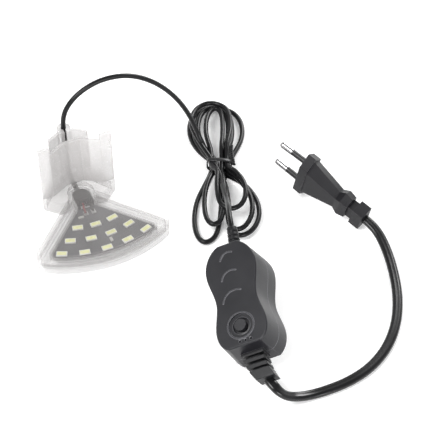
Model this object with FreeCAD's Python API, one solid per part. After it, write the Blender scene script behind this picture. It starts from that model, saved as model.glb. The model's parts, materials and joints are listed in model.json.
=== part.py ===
"""Clip-on LED lamp for a small aquarium: fan-shaped clear head, clear glass clip,
in-line controller with a push button, mains lead and two-pin plug.

Frame: millimetres, +Z up. The lamp lies with its LEDs facing up and its clip standing up.
X runs along the clip's width, the fan spreads towards -Y, and the origin is the bottom centre
of the lamp (head and clip). Each function below builds one physical piece.
"""
import FreeCAD, Part
import math
import os

V = FreeCAD.Vector
UP = V(0, 0, 1)

# ---- lamp head ----
FAN_HALF_ANGLE = 42.0
FAN_CENTRE_Y = 32.5
FAN_RADIUS = 74.4
FAN_APEX_Y = 19.6
FAN_CORNER = 6.0
HEAD_WALL = 2.0
HEAD_FLOOR = 2.0
HEAD_SPLIT_Z = 6.0
HEAD_HEIGHT = 11.0
HEAD_EDGE = 1.0
NECK_RADIUS = 8.0
NECK_CENTRE_Y = 12.8
RIB_SIDE_INSET = 6.4
RIB_ARC_INSET = 4.5
RIB_THICKNESS = 1.3
BOARD_CLEARANCE = 0.3
BOARD_THICKNESS = 1.6
BOARD_Z = 5.4
BOARD_LEDGE = 0.9
BOARD_TIP_Y = 2.0

# ---- LEDs: rows of (distance inside the fan's arc, pitch in degrees, count) ----
LED_ROWS = ((28.8, 13.4, 3), (18.9, 12.5, 4), (9.0, 11.5, 5))
LED_LENGTH = 6.2
LED_WIDTH = 3.3
LED_HEIGHT = 0.9
LED_RIM = 0.45
PHOSPHOR_PROUD = 0.05
RESISTOR_SIZE = (3.2, 1.6, 0.6)
ROW_RESISTOR = (14.1, 4.2)
TIP_RESISTOR = (-6.0, 6.6)
PAD_SIZE = (2.6, 3.2, 0.3)
PAD_SPREAD = 2.3
PAD_FROM_TIP = 4.4

# ---- clip ----
CLIP_WALL = 2.0
GLASS_SLOT = 5.5
NECK_TO_JAW = 1.1
CLIP_FRONT_Y = NECK_CENTRE_Y + NECK_RADIUS + NECK_TO_JAW
FRONT_BOW = 5.8
PRONG_FRONT_Y = CLIP_FRONT_Y - FRONT_BOW
PRONG_INNER_X = 15.3
PRONG_OUTER_X = 22.2
CENTRE_FACET_X = 5.0
FRONT_HEIGHT = 42.5
PRONG_HEIGHT = 47.0
REAR_HEIGHT = 40.0
REAR_END_X = 12.0
REAR_FLAT_X = 4.6
REAR_BOW = 4.3
CLIP_BASE_HEIGHT = 9.0
CLIP_BASE_PLATE = 2.2
CLIP_TOE_X = 14.0
CLIP_TOE_Y = 8.5
HEAD_SEAT_GAP = 0.15
CHANNEL_WALL = 2.4
CHANNEL_SLIT = 1.4
CHANNEL_SET_BACK = 4.1

# ---- low-voltage cord ----
CORD_D = 3.0
CORD_CLEARANCE = 0.4
CORD_Y = CLIP_FRONT_Y + CLIP_WALL + GLASS_SLOT + REAR_BOW + CHANNEL_SET_BACK
CORD_LOW_Z = 4.0
CORD_BEND = 8.0
CORD_END_Y = 9.0
CORE_D = 1.2
CORE_SPREAD = 1.3
CORE_EXIT = 2.5
CORE_REACH = 6.5
SEALANT_Z = (2.0, 7.2)
SEALANT_GAP = 0.3
SEALANT_Y = (5.5, 12.8)

# ---- free run of the low-voltage cord: from the clip's channel to the hank ----
CORD_ARC_POINTS = (
    (0.0, 37.8, 40.0),
    (0.0, 37.8, 47.5),
    (4.6, 38.4, 56.5),
    (14.0, 39.6, 63.2),
    (27.5, 40.6, 66.5),
    (43.5, 40.4, 64.3),
    (58.0, 38.6, 55.5),
    (69.5, 35.8, 42.5),
    (77.5, 33.0, 27.0),
    (81.5, 28.0, 12.0),
    (83.0, 19.0, 5.0),
)

# ---- free run between the hank and the controller, after its straight exit from the relief ----
CORD_TAIL_POINTS = (
    (67.4, -51.0, 31.2),
    (71.6, -38.5, 24.0),
    (75.4, -25.5, 15.5),
    (79.4, -12.5, 9.5),
    (83.5, -0.5, 7.0),
)
DC_EXIT = 6.0

# ---- hank of spare cord, tied at its waist ----
HANK_THICKNESS = 9.0
HANK_TIE = (86.0, 7.0)
HANK_HEADING = 66.0
HANK_UPPER = (29.0, 0.5, 23.0, 16.5)
HANK_LOWER = (-32.5, -5.0, 27.0, 18.0)
HANK_WAIST = (24.0, 14.0)
TIE_WIDTH = 5.0
TIE_WALL = 0.8
TIE_CLEARANCE = 0.1
TIE_TAIL = (16.0, 2.0, 1.6)

# ---- controller ----
CONTROLLER_LENGTH = 61.5
CONTROLLER_DEPTH = 24.0
CONTROLLER_SPLIT = 9.5
UPPER_LOBE_W = 14.7
WAIST_W = 11.8
LOWER_LOBE_W = 14.6
END_W = 5.5
LOWER_END_W = 9.0
LOBE_STATIONS = (
    (-0.42, 0.78 * UPPER_LOBE_W),
    (-0.28, UPPER_LOBE_W),
    (0.06, WAIST_W),
    (0.33, LOWER_LOBE_W),
    (0.46, 0.84 * LOWER_LOBE_W),
)
LOBE_FLARE = 1.6
CASE_WALL = 1.8
CONTROLLER_EDGE = 0.8
CONTROLLER_XY = (56.2, -111.5)
CONTROLLER_HEADING = -103.5
CONTROLLER_PITCH = 13.0
CONTROLLER_ROLL = 26.5
BUTTON_X = CONTROLLER_LENGTH / 2 - 11.4
BUTTON_D = 6.6
BUTTON_BORE = 9.8
BUTTON_GAP = 0.3
BUTTON_PROUD = 2.2
BUTTON_TRAVEL = 1.5
BUTTON_LIP = 0.6
BUTTON_FLANGE = 1.0
BUTTON_HEIGHT = 9.0
BUTTON_STEM_D = 4.0
BUTTON_WELL = 2.2
BUTTON_SEAT = 0.6
BUTTON_FREE_PLAY = 0.05
DISH_D = 15.6
DISH_DEPTH = 0.8
RING_WALL = 0.8
CRESCENTS = ((5.1, 5.5), (16.3, 6.5), (28.4, 8.0))
CRESCENT_WIDTH = 0.7
CRESCENT_RISE = 0.45
CRESCENT_HALF_ANGLE = 55.0
CRESCENT_TURN = 25.0
VENT_D = 1.2
VENT_PITCH = 3.2
VENT_Y = 1.0
VENT_X = CONTROLLER_LENGTH / 2 - 2.5
SWITCH_WIDTH = 12.0
SWITCH_GAP = 0.3
CASE_BOARD_MARGIN = 5.7
CASE_BOARD_WIDTH = 16.0
CASE_BOARD_THICKNESS = 1.6
CASE_BOARD_Z = 5.0
CASE_BOARD_TOP = CASE_BOARD_Z + CASE_BOARD_THICKNESS
BOARD_POST_D = 3.0
BOARD_POSTS = (12.0, 6.0)
TRANSFORMER = (15.0, 14.0, 10.0)
TRANSFORMER_X = -12.0
YOKE = 1.2
WINDING_D = 10.5
WINDING_GAP = 0.2
CAPACITOR_D = 8.0
CAPACITOR_H = 11.0
CAPACITOR_X = 4.5
SCREW_SPOTS = ((8.0 - CONTROLLER_LENGTH / 2, 0.0), (8.0, 8.5))
SCREW_RECESS = 0.6
SCREW_D = 2.6
SCREW_HEAD_D = 5.0
SCREW_HEAD_H = 1.6
SCREW_LENGTH = 10.0
SCREW_CLEARANCE = 0.1
BOSS_D = 6.4

# ---- strain reliefs on the controller ----
RELIEF_Z = CONTROLLER_SPLIT
DC_RELIEF_LENGTH = 16.5
DC_RELIEF_D = 7.8
DC_RELIEF_RINGS = 6
RELIEF_SEAT = 1.2
DC_RELIEF_WEB = 0.9
DC_RELIEF_TAPER_END = 5.8
RELIEF_GAP = 0.1
MAINS_RELIEF_LENGTH = 16.5
MAINS_RELIEF_SIZE = ((13.0, 10.6), (11.0, 8.8))
MAINS_RELIEF_LEAN = 4.5
MAINS_RELIEF_SECTIONS = 5
MAINS_RELIEF_WEB = 0.8
MAINS_RELIEF_RIBS = 3
MAINS_RELIEF_BLOCK = 5.5
RELIEF_GROOVE = 1.5

# ---- mains lead and plug ----
LEAD_W = 5.7
LEAD_T = 3.5
LEAD_EXIT = 4.0
PLUG_EXIT = 8.0
LEAD_POINTS = (
    (46.9, -166.0, 10.9),
    (50.3, -168.0, 7.2),
    (55.8, -168.6, 3.8),
    (64.5, -169.2, 1.8),
    (75.5, -169.8, 1.8),
    (88.5, -168.9, 1.8),
    (103.0, -164.8, 1.8),
    (117.0, -156.0, 1.8),
    (129.0, -143.0, 1.8),
    (138.5, -126.5, 1.8),
    (145.0, -108.5, 1.8),
    (149.0, -91.0, 2.8),
)
PLUG_XY = (124.2, -29.7)
PLUG_HEADING = 118.3
PLUG_PITCH = -13.9
PLUG_ROLL = -4.0
PLUG_WIDTH = 35.3
PLUG_FLAT = 22.8
PLUG_THICKNESS = 13.7
COLLAR_LENGTH = 5.5
GRIP_LENGTH = 30.0
GRIP_W = (29.0, 13.0)
GRIP_T = (12.6, 9.0)
FLARE_W = 19.0
FLARE_T = 11.0
FLARE_END = (15.2, 9.9)
FLARE_LENGTH = 5.0
FLARE_FADE = 4.0
NECK_LENGTH = 4.0
NECK_W = (8.6, 7.0)
BLOCK_LENGTH = 7.0
BLOCK_SIZE = (12.0, 9.6)
PIN_LENGTH = 19.0
PIN_SLEEVE_LENGTH = 10.0
PIN_D = 4.0
SLEEVE_D = 3.6
PIN_CORE_D = 3.0
PIN_PITCH = 18.6
PIN_TIP_PITCH = 17.5
PIN_ROOT = 12.0


def face(points):
    """Flat face from corner points."""
    return Part.Face(Part.makePolygon(list(points) + [points[0]]))


def prism(points, low, high):
    """Upright prism of a plan outline between two heights."""
    base = face([V(x, y, low) for x, y in points])
    return base.extrude(V(0, 0, high - low))


def box(cx, cy, low, size_x, size_y, high):
    """Upright box centred on (cx, cy)."""
    return Part.makeBox(size_x, size_y, high - low, V(cx - size_x / 2, cy - size_y / 2, low))


def post(cx, cy, low, diameter, high):
    """Upright cylinder."""
    return Part.makeCylinder(diameter / 2, high - low, V(cx, cy, low), UP)


def fuse(shapes):
    """One solid from touching solids."""
    joined = shapes[0]
    for shape in shapes[1:]:
        joined = joined.fuse(shape)
    return joined.removeSplitter()


def cut(shape, tools):
    """Shape less each tool."""
    for tool in tools:
        shape = shape.cut(tool)
    return shape


def edges_at(shape, level):
    """Edges that lie flat at one height."""
    near = 1e-4
    low = [edge for edge in shape.Edges if abs(edge.BoundBox.ZMin - level) < near]
    return [edge for edge in low if abs(edge.BoundBox.ZMax - level) < near]


def rounded_route(points):
    """Straight runs joined by the largest tangent arcs that the runs allow."""
    pts = [V(*p) for p in points]
    edges = []
    radii = []
    start = pts[0]
    for before, corner, after in zip(pts, pts[1:], pts[2:]):
        first = corner - before
        second = after - corner
        turn = first.getAngle(second)
        reach = 0.45 * min(first.Length, second.Length)
        radius = reach / math.tan(turn / 2)
        arc_in = corner - V(first).normalize() * reach
        arc_out = corner + V(second).normalize() * reach
        inward = (V(second).normalize() - V(first).normalize()).normalize()
        middle = corner + inward * (radius / math.cos(turn / 2) - radius)
        edges.append(Part.LineSegment(start, arc_in).toShape())
        edges.append(Part.Arc(arc_in, middle, arc_out).toShape())
        radii.append(radius)
        start = arc_out
    edges.append(Part.LineSegment(start, pts[-1]).toShape())
    return Part.Wire(edges), radii


def swept(wire, profile, area, name):
    """Profile swept along a route, with its volume checked against section times length."""
    solid = wire.makePipeShell([profile], True, False)
    expected = area * wire.Length
    print(name, "length", round(wire.Length, 1), "volume ratio", round(solid.Volume / expected, 4))
    return solid


def round_cord(points, diameter, name):
    """Round cord along hand-set points."""
    wire, radii = rounded_route(points)
    along = V(*points[1]) - V(*points[0])
    ring = Part.Wire(Part.makeCircle(diameter / 2, V(*points[0]), along))
    print(name, "radii", [round(r, 1) for r in radii])
    return swept(wire, ring, math.pi * diameter ** 2 / 4, name)


# ------------------------------------------------------------------ head


def fan(side_inset, arc_inset, corner, low, high):
    """Fan outline, inset from its straight sides and from its arc, extruded between two heights."""
    angle = math.radians(FAN_HALF_ANGLE)
    apex = V(0, FAN_APEX_Y - side_inset / math.sin(angle), low)
    centre = V(0, FAN_CENTRE_Y, low)
    radius = FAN_RADIUS - arc_inset
    along = V(math.sin(angle), -math.cos(angle), 0)
    inward = V(-math.cos(angle), -math.sin(angle), 0)
    offset = apex + inward * corner - centre
    half_b = offset.dot(along)
    reach = -half_b + math.sqrt(half_b ** 2 - offset.dot(offset) + (radius - corner) ** 2)
    on_side = apex + along * reach
    pivot = on_side + inward * corner
    on_arc = centre + (pivot - centre) * (radius / (radius - corner))
    bisector = ((on_side - pivot) + (on_arc - pivot)).normalize()
    between = pivot + bisector * corner

    def mirrored(p):
        return V(-p.x, p.y, p.z)

    edges = [
        Part.LineSegment(apex, on_side).toShape(),
        Part.Arc(on_side, between, on_arc).toShape(),
        Part.Arc(on_arc, centre - V(0, radius, 0), mirrored(on_arc)).toShape(),
        Part.Arc(mirrored(on_arc), mirrored(between), mirrored(on_side)).toShape(),
        Part.LineSegment(mirrored(on_side), apex).toShape(),
    ]
    return Part.Face(Part.Wire(edges)).extrude(V(0, 0, high - low))


def head_outline(inset, low, high, arc_inset=None):
    """Fan and round neck together, inset all round."""
    arc_inset = inset if arc_inset is None else arc_inset
    neck = post(0, NECK_CENTRE_Y, low, 2 * (NECK_RADIUS - inset), high)
    return fuse([fan(inset, arc_inset, max(FAN_CORNER - inset, 1.0), low, high), neck])


def head_skin(low, high, level):
    """Outer body of the head with a rounded edge at one of its two heights."""
    parts = [fan(0, 0, FAN_CORNER, low, high), post(0, NECK_CENTRE_Y, low, 2 * NECK_RADIUS, high)]
    return fuse([part.makeFillet(HEAD_EDGE, edges_at(part, level)) for part in parts])


def rib_opening(inset, low, high):
    """Space inside the sealing rib: the board's window and the wire chamber behind it."""
    half = NECK_RADIUS - HEAD_WALL - CORD_CLEARANCE - (RIB_THICKNESS - inset)
    window = fan(RIB_SIDE_INSET + inset, RIB_ARC_INSET + inset, 2.0, low, high)
    chamber = post(0, NECK_CENTRE_Y, low, 2 * half, high)
    passage = box(0, NECK_CENTRE_Y / 2, low, 2 * half, NECK_CENTRE_Y, high)
    return fuse([window, chamber, passage])


def rib(low, high):
    """Sealing rib around the window and the chamber."""
    angle = math.radians(FAN_HALF_ANGLE)
    outer_half = NECK_RADIUS - HEAD_WALL - CORD_CLEARANCE + RIB_THICKNESS
    outer = fuse([
        fan(RIB_SIDE_INSET, RIB_ARC_INSET, 2.0 + RIB_THICKNESS, low, high),
        post(0, NECK_CENTRE_Y, low, 2 * outer_half, high),
        box(0, NECK_CENTRE_Y / 2 + 0.5 * math.cos(angle), low, 2 * outer_half, NECK_CENTRE_Y, high),
    ])
    return outer.common(head_outline(0, low, high)).cut(rib_opening(RIB_THICKNESS, low, high))


def cord_passage():
    """Space that the cord takes inside the clip and the head, with its clearance."""
    return inner_cord_shape(CORD_D + CORD_CLEARANCE)


def head_base():
    """Lower clear tray: floor, wall, sealing rib and the ledge that carries the board."""
    outer = head_skin(0, HEAD_SPLIT_Z, 0)
    hollow = head_outline(HEAD_WALL, HEAD_FLOOR, HEAD_SPLIT_Z)
    ledge_in = RIB_THICKNESS + BOARD_CLEARANCE + BOARD_LEDGE
    ledge = rib_opening(RIB_THICKNESS, HEAD_FLOOR, BOARD_Z).cut(rib_opening(ledge_in, HEAD_FLOOR, BOARD_Z))
    shape = fuse([outer.cut(hollow), rib(HEAD_FLOOR, HEAD_SPLIT_Z), ledge])
    return shape.cut(cord_passage())


def head_cover():
    """Upper clear cover: window plate, wall and the rib that meets the tray's rib."""
    top = HEAD_HEIGHT - HEAD_FLOOR
    outer = head_skin(HEAD_SPLIT_Z, HEAD_HEIGHT, HEAD_HEIGHT)
    hollow = head_outline(HEAD_WALL, HEAD_SPLIT_Z, top)
    return fuse([outer.cut(hollow), rib(HEAD_SPLIT_Z, top)])


def led_board():
    """Dark circuit board under the window."""
    inset = RIB_THICKNESS + BOARD_CLEARANCE
    plate = fan(RIB_SIDE_INSET + inset, RIB_ARC_INSET + inset, 1.7, BOARD_Z, BOARD_Z + BOARD_THICKNESS)
    return plate.cut(box(0, BOARD_TIP_Y + 20, BOARD_Z, 40, 40, BOARD_Z + BOARD_THICKNESS))


def on_fan(inset, turn):
    """Plan point at a distance inside the fan's arc, turned about the fan's centre."""
    radius = FAN_RADIUS - inset
    angle = math.radians(turn)
    return radius * math.sin(angle), FAN_CENTRE_Y - radius * math.cos(angle)


def led_places():
    """Centre and turn of every LED, row by row."""
    places = []
    for inset, pitch, count in LED_ROWS:
        for k in range(count):
            turn = (k - (count - 1) / 2) * pitch
            places.append(on_fan(inset, turn) + (turn,))
    return places


def board_top_box(x, y, turn, size):
    """Small box that sits on the board."""
    low = BOARD_Z + BOARD_THICKNESS
    part = box(x, y, low, size[0], size[1], low + size[2])
    part.rotate(V(x, y, 0), UP, turn)
    return part


def phosphor(x, y, turn, height):
    """Phosphor pane in the middle of an LED."""
    size = (LED_LENGTH - 2 * LED_RIM, LED_WIDTH - 2 * LED_RIM, height)
    return board_top_box(x, y, turn, size)


def led_packages():
    """White frames of the LEDs."""
    frames = []
    for x, y, turn in led_places():
        frame = board_top_box(x, y, turn, (LED_LENGTH, LED_WIDTH, LED_HEIGHT))
        frames.append(frame.cut(phosphor(x, y, turn, LED_HEIGHT + 1)))
    return Part.makeCompound(frames)


def led_phosphors():
    """Yellow panes of the LEDs."""
    height = LED_HEIGHT + PHOSPHOR_PROUD
    return Part.makeCompound([phosphor(x, y, turn, height) for x, y, turn in led_places()])


def board_resistors():
    """Chip resistors: one between two LED rows and one near the board's tip."""
    x, y = on_fan(*ROW_RESISTOR)
    between_rows = board_top_box(x, y, 90, RESISTOR_SIZE)
    near_tip = board_top_box(TIP_RESISTOR[0], BOARD_TIP_Y - TIP_RESISTOR[1], 0, RESISTOR_SIZE)
    return Part.makeCompound([between_rows, near_tip])


def solder_pads():
    """Two solder joints where the cores reach the board."""
    y = BOARD_TIP_Y - PAD_FROM_TIP
    return Part.makeCompound([board_top_box(side * PAD_SPREAD, y, 0, PAD_SIZE) for side in (-1, 1)])


def core(side):
    """One insulated core from the cord's end up to its solder joint."""
    top = BOARD_Z + BOARD_THICKNESS + PAD_SIZE[2] + CORE_D / 2
    x = side * CORE_SPREAD / 2
    points = (
        (x, CORD_END_Y, CORD_LOW_Z),
        (x, CORD_END_Y - CORE_EXIT, CORD_LOW_Z),
        (side * PAD_SPREAD, CORD_END_Y - CORE_REACH, top + CORE_D / 4),
        (side * PAD_SPREAD, BOARD_TIP_Y - PAD_FROM_TIP, top),
    )
    return round_cord(points, CORE_D, "core")


def neck_sealant():
    """Sealing compound that fills the chamber around the cord."""
    half = NECK_RADIUS - HEAD_WALL - CORD_CLEARANCE - SEALANT_GAP
    low, high = SEALANT_Z
    front, back = SEALANT_Y
    body = fuse([
        post(0, back, low, 2 * half, high),
        box(0, (front + back) / 2, low, 2 * half, back - front, high),
    ])
    cord_hole = Part.makeCylinder(CORD_D / 2, 60, V(0, front, CORD_LOW_Z), V(0, 1, 0))
    core_room = box(0, front, low, 2 * PAD_SPREAD + CORE_D, 2 * (CORD_END_Y - front), high)
    return cut(body, [cord_hole, core_room])


# ------------------------------------------------------------------ clip


def bowed(points, thickness, low, high):
    """Upright wall along a polyline, thickened towards +Y."""
    back = [(x, y + thickness) for x, y in reversed(points)]
    return prism(list(points) + back, low, high)


def clip_front_jaw():
    """Inner jaw: bowed centre plate with a taller flat prong at each end."""
    middle = [
        (-PRONG_INNER_X, PRONG_FRONT_Y),
        (-CENTRE_FACET_X, CLIP_FRONT_Y),
        (CENTRE_FACET_X, CLIP_FRONT_Y),
        (PRONG_INNER_X, PRONG_FRONT_Y),
    ]
    pieces = [bowed(middle, CLIP_WALL, CLIP_BASE_HEIGHT, FRONT_HEIGHT)]
    width = PRONG_OUTER_X - PRONG_INNER_X
    for side in (-1, 1):
        centre_x = side * (PRONG_OUTER_X + PRONG_INNER_X) / 2
        centre_y = PRONG_FRONT_Y + CLIP_WALL / 2
        pieces.append(box(centre_x, centre_y, CLIP_BASE_HEIGHT, width, CLIP_WALL, PRONG_HEIGHT))
    return fuse(pieces)


def rear_line(step):
    """Front or back line of the rear jaw, step behind its front line."""
    end_y = CLIP_FRONT_Y + CLIP_WALL + GLASS_SLOT + step
    flat_y = end_y + REAR_BOW
    return [(-REAR_END_X, end_y), (-REAR_FLAT_X, flat_y), (REAR_FLAT_X, flat_y), (REAR_END_X, end_y)]


def clip_rear_jaw():
    """Outer jaw: bowed plate with the slit cord channel up its back."""
    plate = bowed(rear_line(0), CLIP_WALL, CLIP_BASE_HEIGHT, REAR_HEIGHT)
    tube_d = CORD_D + CORD_CLEARANCE + 2 * CHANNEL_WALL
    tube = post(0, CORD_Y, CLIP_BASE_HEIGHT, tube_d, REAR_HEIGHT)
    slit_depth = CORD_Y - rear_line(0)[1][1]
    slit_y = CORD_Y - slit_depth / 2 - 0.5
    slit = box(0, slit_y, CLIP_BASE_HEIGHT, CHANNEL_SLIT, slit_depth + 1, REAR_HEIGHT)
    return cut(fuse([plate, tube]), [slit, cord_passage()])


def base_outline(inset, low, high):
    """Plan of the clip's base, inset all round."""
    back = rear_line(CLIP_WALL)
    tube_d = CORD_D + CORD_CLEARANCE + 2 * CHANNEL_WALL
    points = [
        (-PRONG_OUTER_X, PRONG_FRONT_Y),
        (-CLIP_TOE_X, CLIP_TOE_Y),
        (CLIP_TOE_X, CLIP_TOE_Y),
        (PRONG_OUTER_X, PRONG_FRONT_Y),
        (PRONG_OUTER_X, PRONG_FRONT_Y + CLIP_WALL),
        (back[3][0], back[3][1]),
        (back[2][0], back[2][1]),
        (back[1][0], back[1][1]),
        (back[0][0], back[0][1]),
        (-PRONG_OUTER_X, PRONG_FRONT_Y + CLIP_WALL),
    ]
    flat = face([V(x, y, low) for x, y in points])
    if inset:
        flat = flat.makeOffset2D(-inset, 0, False, False, True)
    body = flat.extrude(V(0, 0, high - low))
    return fuse([body, post(0, CORD_Y, low, tube_d - 2 * inset, high)])


def clip_base():
    """Hollow foot under both jaws, cut to seat the head's neck."""
    shell = base_outline(0, 0, CLIP_BASE_HEIGHT)
    hollow = base_outline(CLIP_WALL, -1, CLIP_BASE_HEIGHT - CLIP_BASE_PLATE)
    seat = head_outline(-HEAD_SEAT_GAP, -1, CLIP_BASE_HEIGHT + 1)
    return cut(shell, [hollow, seat, cord_passage()])


# ------------------------------------------------------------------ cord in the clip


def inner_cord_shape(diameter):
    """Cord down the channel, round one bend and forward into the head's chamber."""
    bend_top = CORD_LOW_Z + CORD_BEND
    bend_front = CORD_Y - CORD_BEND
    lean = CORD_BEND * (1 - math.sqrt(0.5))
    start = V(0, CORD_Y, REAR_HEIGHT)
    bend_in = V(0, CORD_Y, bend_top)
    bend_mid = V(0, CORD_Y - lean, CORD_LOW_Z + lean)
    bend_out = V(0, bend_front, CORD_LOW_Z)
    wire = Part.Wire([
        Part.LineSegment(start, bend_in).toShape(),
        Part.Arc(bend_in, bend_mid, bend_out).toShape(),
        Part.LineSegment(bend_out, V(0, CORD_END_Y, CORD_LOW_Z)).toShape(),
    ])
    ring = Part.Wire(Part.makeCircle(diameter / 2, start, V(0, 0, -1)))
    return swept(wire, ring, math.pi * diameter ** 2 / 4, "cord in clip")


def cord_in_clip():
    """The held part of the low-voltage cord."""
    return inner_cord_shape(CORD_D)


def dc_cord_tail(case):
    """Free run from the controller's low-voltage relief into the hank."""
    relief_tip = -CONTROLLER_LENGTH / 2 - DC_RELIEF_LENGTH
    start = [tuple(case.multVec(V(relief_tip - step, 0, RELIEF_Z))) for step in (0, DC_EXIT)]
    print("dc cord tail start", [[round(c, 2) for c in p] for p in start])
    return round_cord(start + list(CORD_TAIL_POINTS), CORD_D, "dc cord tail")


# ------------------------------------------------------------------ hank


def hank_to_frame(shape):
    """Place a shape drawn about the tie into the part's frame."""
    shape.rotate(V(0, 0, 0), UP, HANK_HEADING)
    shape.translate(V(HANK_TIE[0], HANK_TIE[1], 0))
    return shape


def lobe(offset_x, offset_y, half_length, half_width, height):
    """Oval lobe of the hank along its own X axis."""
    oval = Part.Ellipse(V(offset_x, offset_y, 0), half_length, half_width).toShape()
    return Part.Face(Part.Wire(oval)).extrude(V(0, 0, height))


def dc_cord_hank():
    """Outer shape of the tied loops: an upper and a lower lobe and the waist between them."""
    waist = box(0, 0, 0, HANK_WAIST[0], HANK_WAIST[1], HANK_THICKNESS)
    lobes = [lobe(*size, HANK_THICKNESS) for size in (HANK_UPPER, HANK_LOWER)]
    return hank_to_frame(fuse([waist] + lobes))


def hank_tie():
    """Twist tie: a band round the waist, with its twisted end on top."""
    inner_w = HANK_WAIST[1] + 2 * TIE_CLEARANCE
    top = HANK_THICKNESS + TIE_CLEARANCE
    band = box(0, 0, 0, TIE_WIDTH, inner_w + 2 * TIE_WALL, top + TIE_WALL)
    room = box(0, 0, 0, TIE_WIDTH + 2, inner_w, top)
    length, width, thickness = TIE_TAIL
    low = top + TIE_WALL - TIE_CLEARANCE
    tail = box(length / 2, width - inner_w / 2, low, length, width, low + thickness)
    return hank_to_frame(fuse([band.cut(room), tail]))


# ------------------------------------------------------------------ controller


def lobe_wire(z, grow):
    """Hourglass outline of the controller at one height, grown by the given amount."""
    half = CONTROLLER_LENGTH / 2 + grow / 2
    stations = [(-half, END_W + grow)]
    stations += [(share * CONTROLLER_LENGTH, width + grow) for share, width in LOBE_STATIONS]
    stations += [(half, LOWER_END_W + grow)]
    right = Part.BSplineCurve()
    right.interpolate([V(x, w, z) for x, w in stations])
    left = Part.BSplineCurve()
    left.interpolate([V(x, -w, z) for x, w in reversed(stations)])
    ends = [V(half, LOWER_END_W + grow, z), V(half, -LOWER_END_W - grow, z)]
    starts = [V(-half, -END_W - grow, z), V(-half, END_W + grow, z)]
    return Part.Wire([
        right.toShape(),
        Part.LineSegment(ends[0], ends[1]).toShape(),
        left.toShape(),
        Part.LineSegment(starts[0], starts[1]).toShape(),
    ])


def case_body(low, high, inset):
    """Drafted controller body between two heights, inset from its skin."""
    def grow(z):
        return LOBE_FLARE * (1 - z / CONTROLLER_DEPTH) - inset

    return Part.makeLoft([lobe_wire(low, grow(low)), lobe_wire(high, grow(high))], True, True)


def controller_placement():
    """Pose of the controller, resting on the floor by its lowest edge."""
    turn = FreeCAD.Rotation(UP, CONTROLLER_HEADING)
    turn = turn.multiply(FreeCAD.Rotation(V(0, 1, 0), CONTROLLER_PITCH))
    turn = turn.multiply(FreeCAD.Rotation(V(1, 0, 0), CONTROLLER_ROLL))
    pose = FreeCAD.Placement(V(CONTROLLER_XY[0], CONTROLLER_XY[1], 0), turn)
    lowest = case_body(0, CONTROLLER_SPLIT, 0).copy()
    lowest.Placement = pose
    pose.Base.z = -lowest.BoundBox.ZMin
    return pose


def posed(shape, pose):
    """Copy of a locally drawn shape in its final place."""
    moved = shape.copy()
    moved.Placement = pose.multiply(moved.Placement)
    return moved


def screw(x, y, clearance):
    """Case screw with its head under the base."""
    low = SCREW_RECESS
    head = post(x, y, low, SCREW_HEAD_D + 2 * clearance, low + SCREW_HEAD_H + clearance)
    shank = post(x, y, low, SCREW_D + 2 * clearance, low + SCREW_LENGTH + clearance)
    return fuse([head, shank])


def screw_room():
    """Holes for the case screws, open below."""
    rooms = [screw(x, y, SCREW_CLEARANCE) for x, y in SCREW_SPOTS]
    rooms += [post(x, y, -1, SCREW_HEAD_D + 2 * SCREW_CLEARANCE, 1) for x, y in SCREW_SPOTS]
    return rooms


def relief_neck_room():
    """Round and square openings in the end walls where the reliefs pass in."""
    dc = Part.makeCylinder(DC_RELIEF_D / 2, 8, V(-CONTROLLER_LENGTH / 2 - 4, 0, RELIEF_Z), V(1, 0, 0))
    width, height = MAINS_RELIEF_SIZE[0]
    low = RELIEF_Z - height / 2
    mains = box(CONTROLLER_LENGTH / 2, 0, low, 8, width, low + height)
    return [dc, mains]


def controller_base():
    """Lower half of the case, with the screw bosses and board posts."""
    shell = case_body(0, CONTROLLER_SPLIT, 0)
    shell = shell.cut(case_body(CASE_WALL, CONTROLLER_SPLIT + 0.001, CASE_WALL))
    bosses = [post(x, y, CASE_WALL / 2, BOSS_D, CONTROLLER_SPLIT) for x, y in SCREW_SPOTS]
    corners = [(i * BOARD_POSTS[0], j * BOARD_POSTS[1]) for i in (-1, 1) for j in (-1, 1)]
    posts = [post(x, y, CASE_WALL / 2, BOARD_POST_D, CASE_BOARD_Z) for x, y in corners]
    return cut(fuse([shell] + bosses + posts), screw_room() + relief_neck_room())


def crescent(from_end, radius):
    """Thin raised arc on the top face, open towards the button."""
    x = from_end - CONTROLLER_LENGTH / 2
    band = post(x + radius, 0, 0, 2 * radius, CRESCENT_RISE + 0.2)
    band = band.cut(post(x + radius, 0, -1, 2 * (radius - CRESCENT_WIDTH), 2))
    reach = 2 * radius
    spread = math.tan(math.radians(CRESCENT_HALF_ANGLE)) * reach
    wedge = prism([(x + radius, 0), (x + radius - reach, -spread), (x + radius - reach, spread)], -1, 2)
    arc = band.common(wedge)
    arc.rotate(V(x + radius, 0, 0), UP, CRESCENT_TURN)
    arc.translate(V(0, 0, CONTROLLER_DEPTH - 0.2))
    return arc


def button_seat():
    """Height of the rim that the button's flange stops against."""
    return CONTROLLER_DEPTH - CASE_WALL - BUTTON_SEAT


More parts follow.
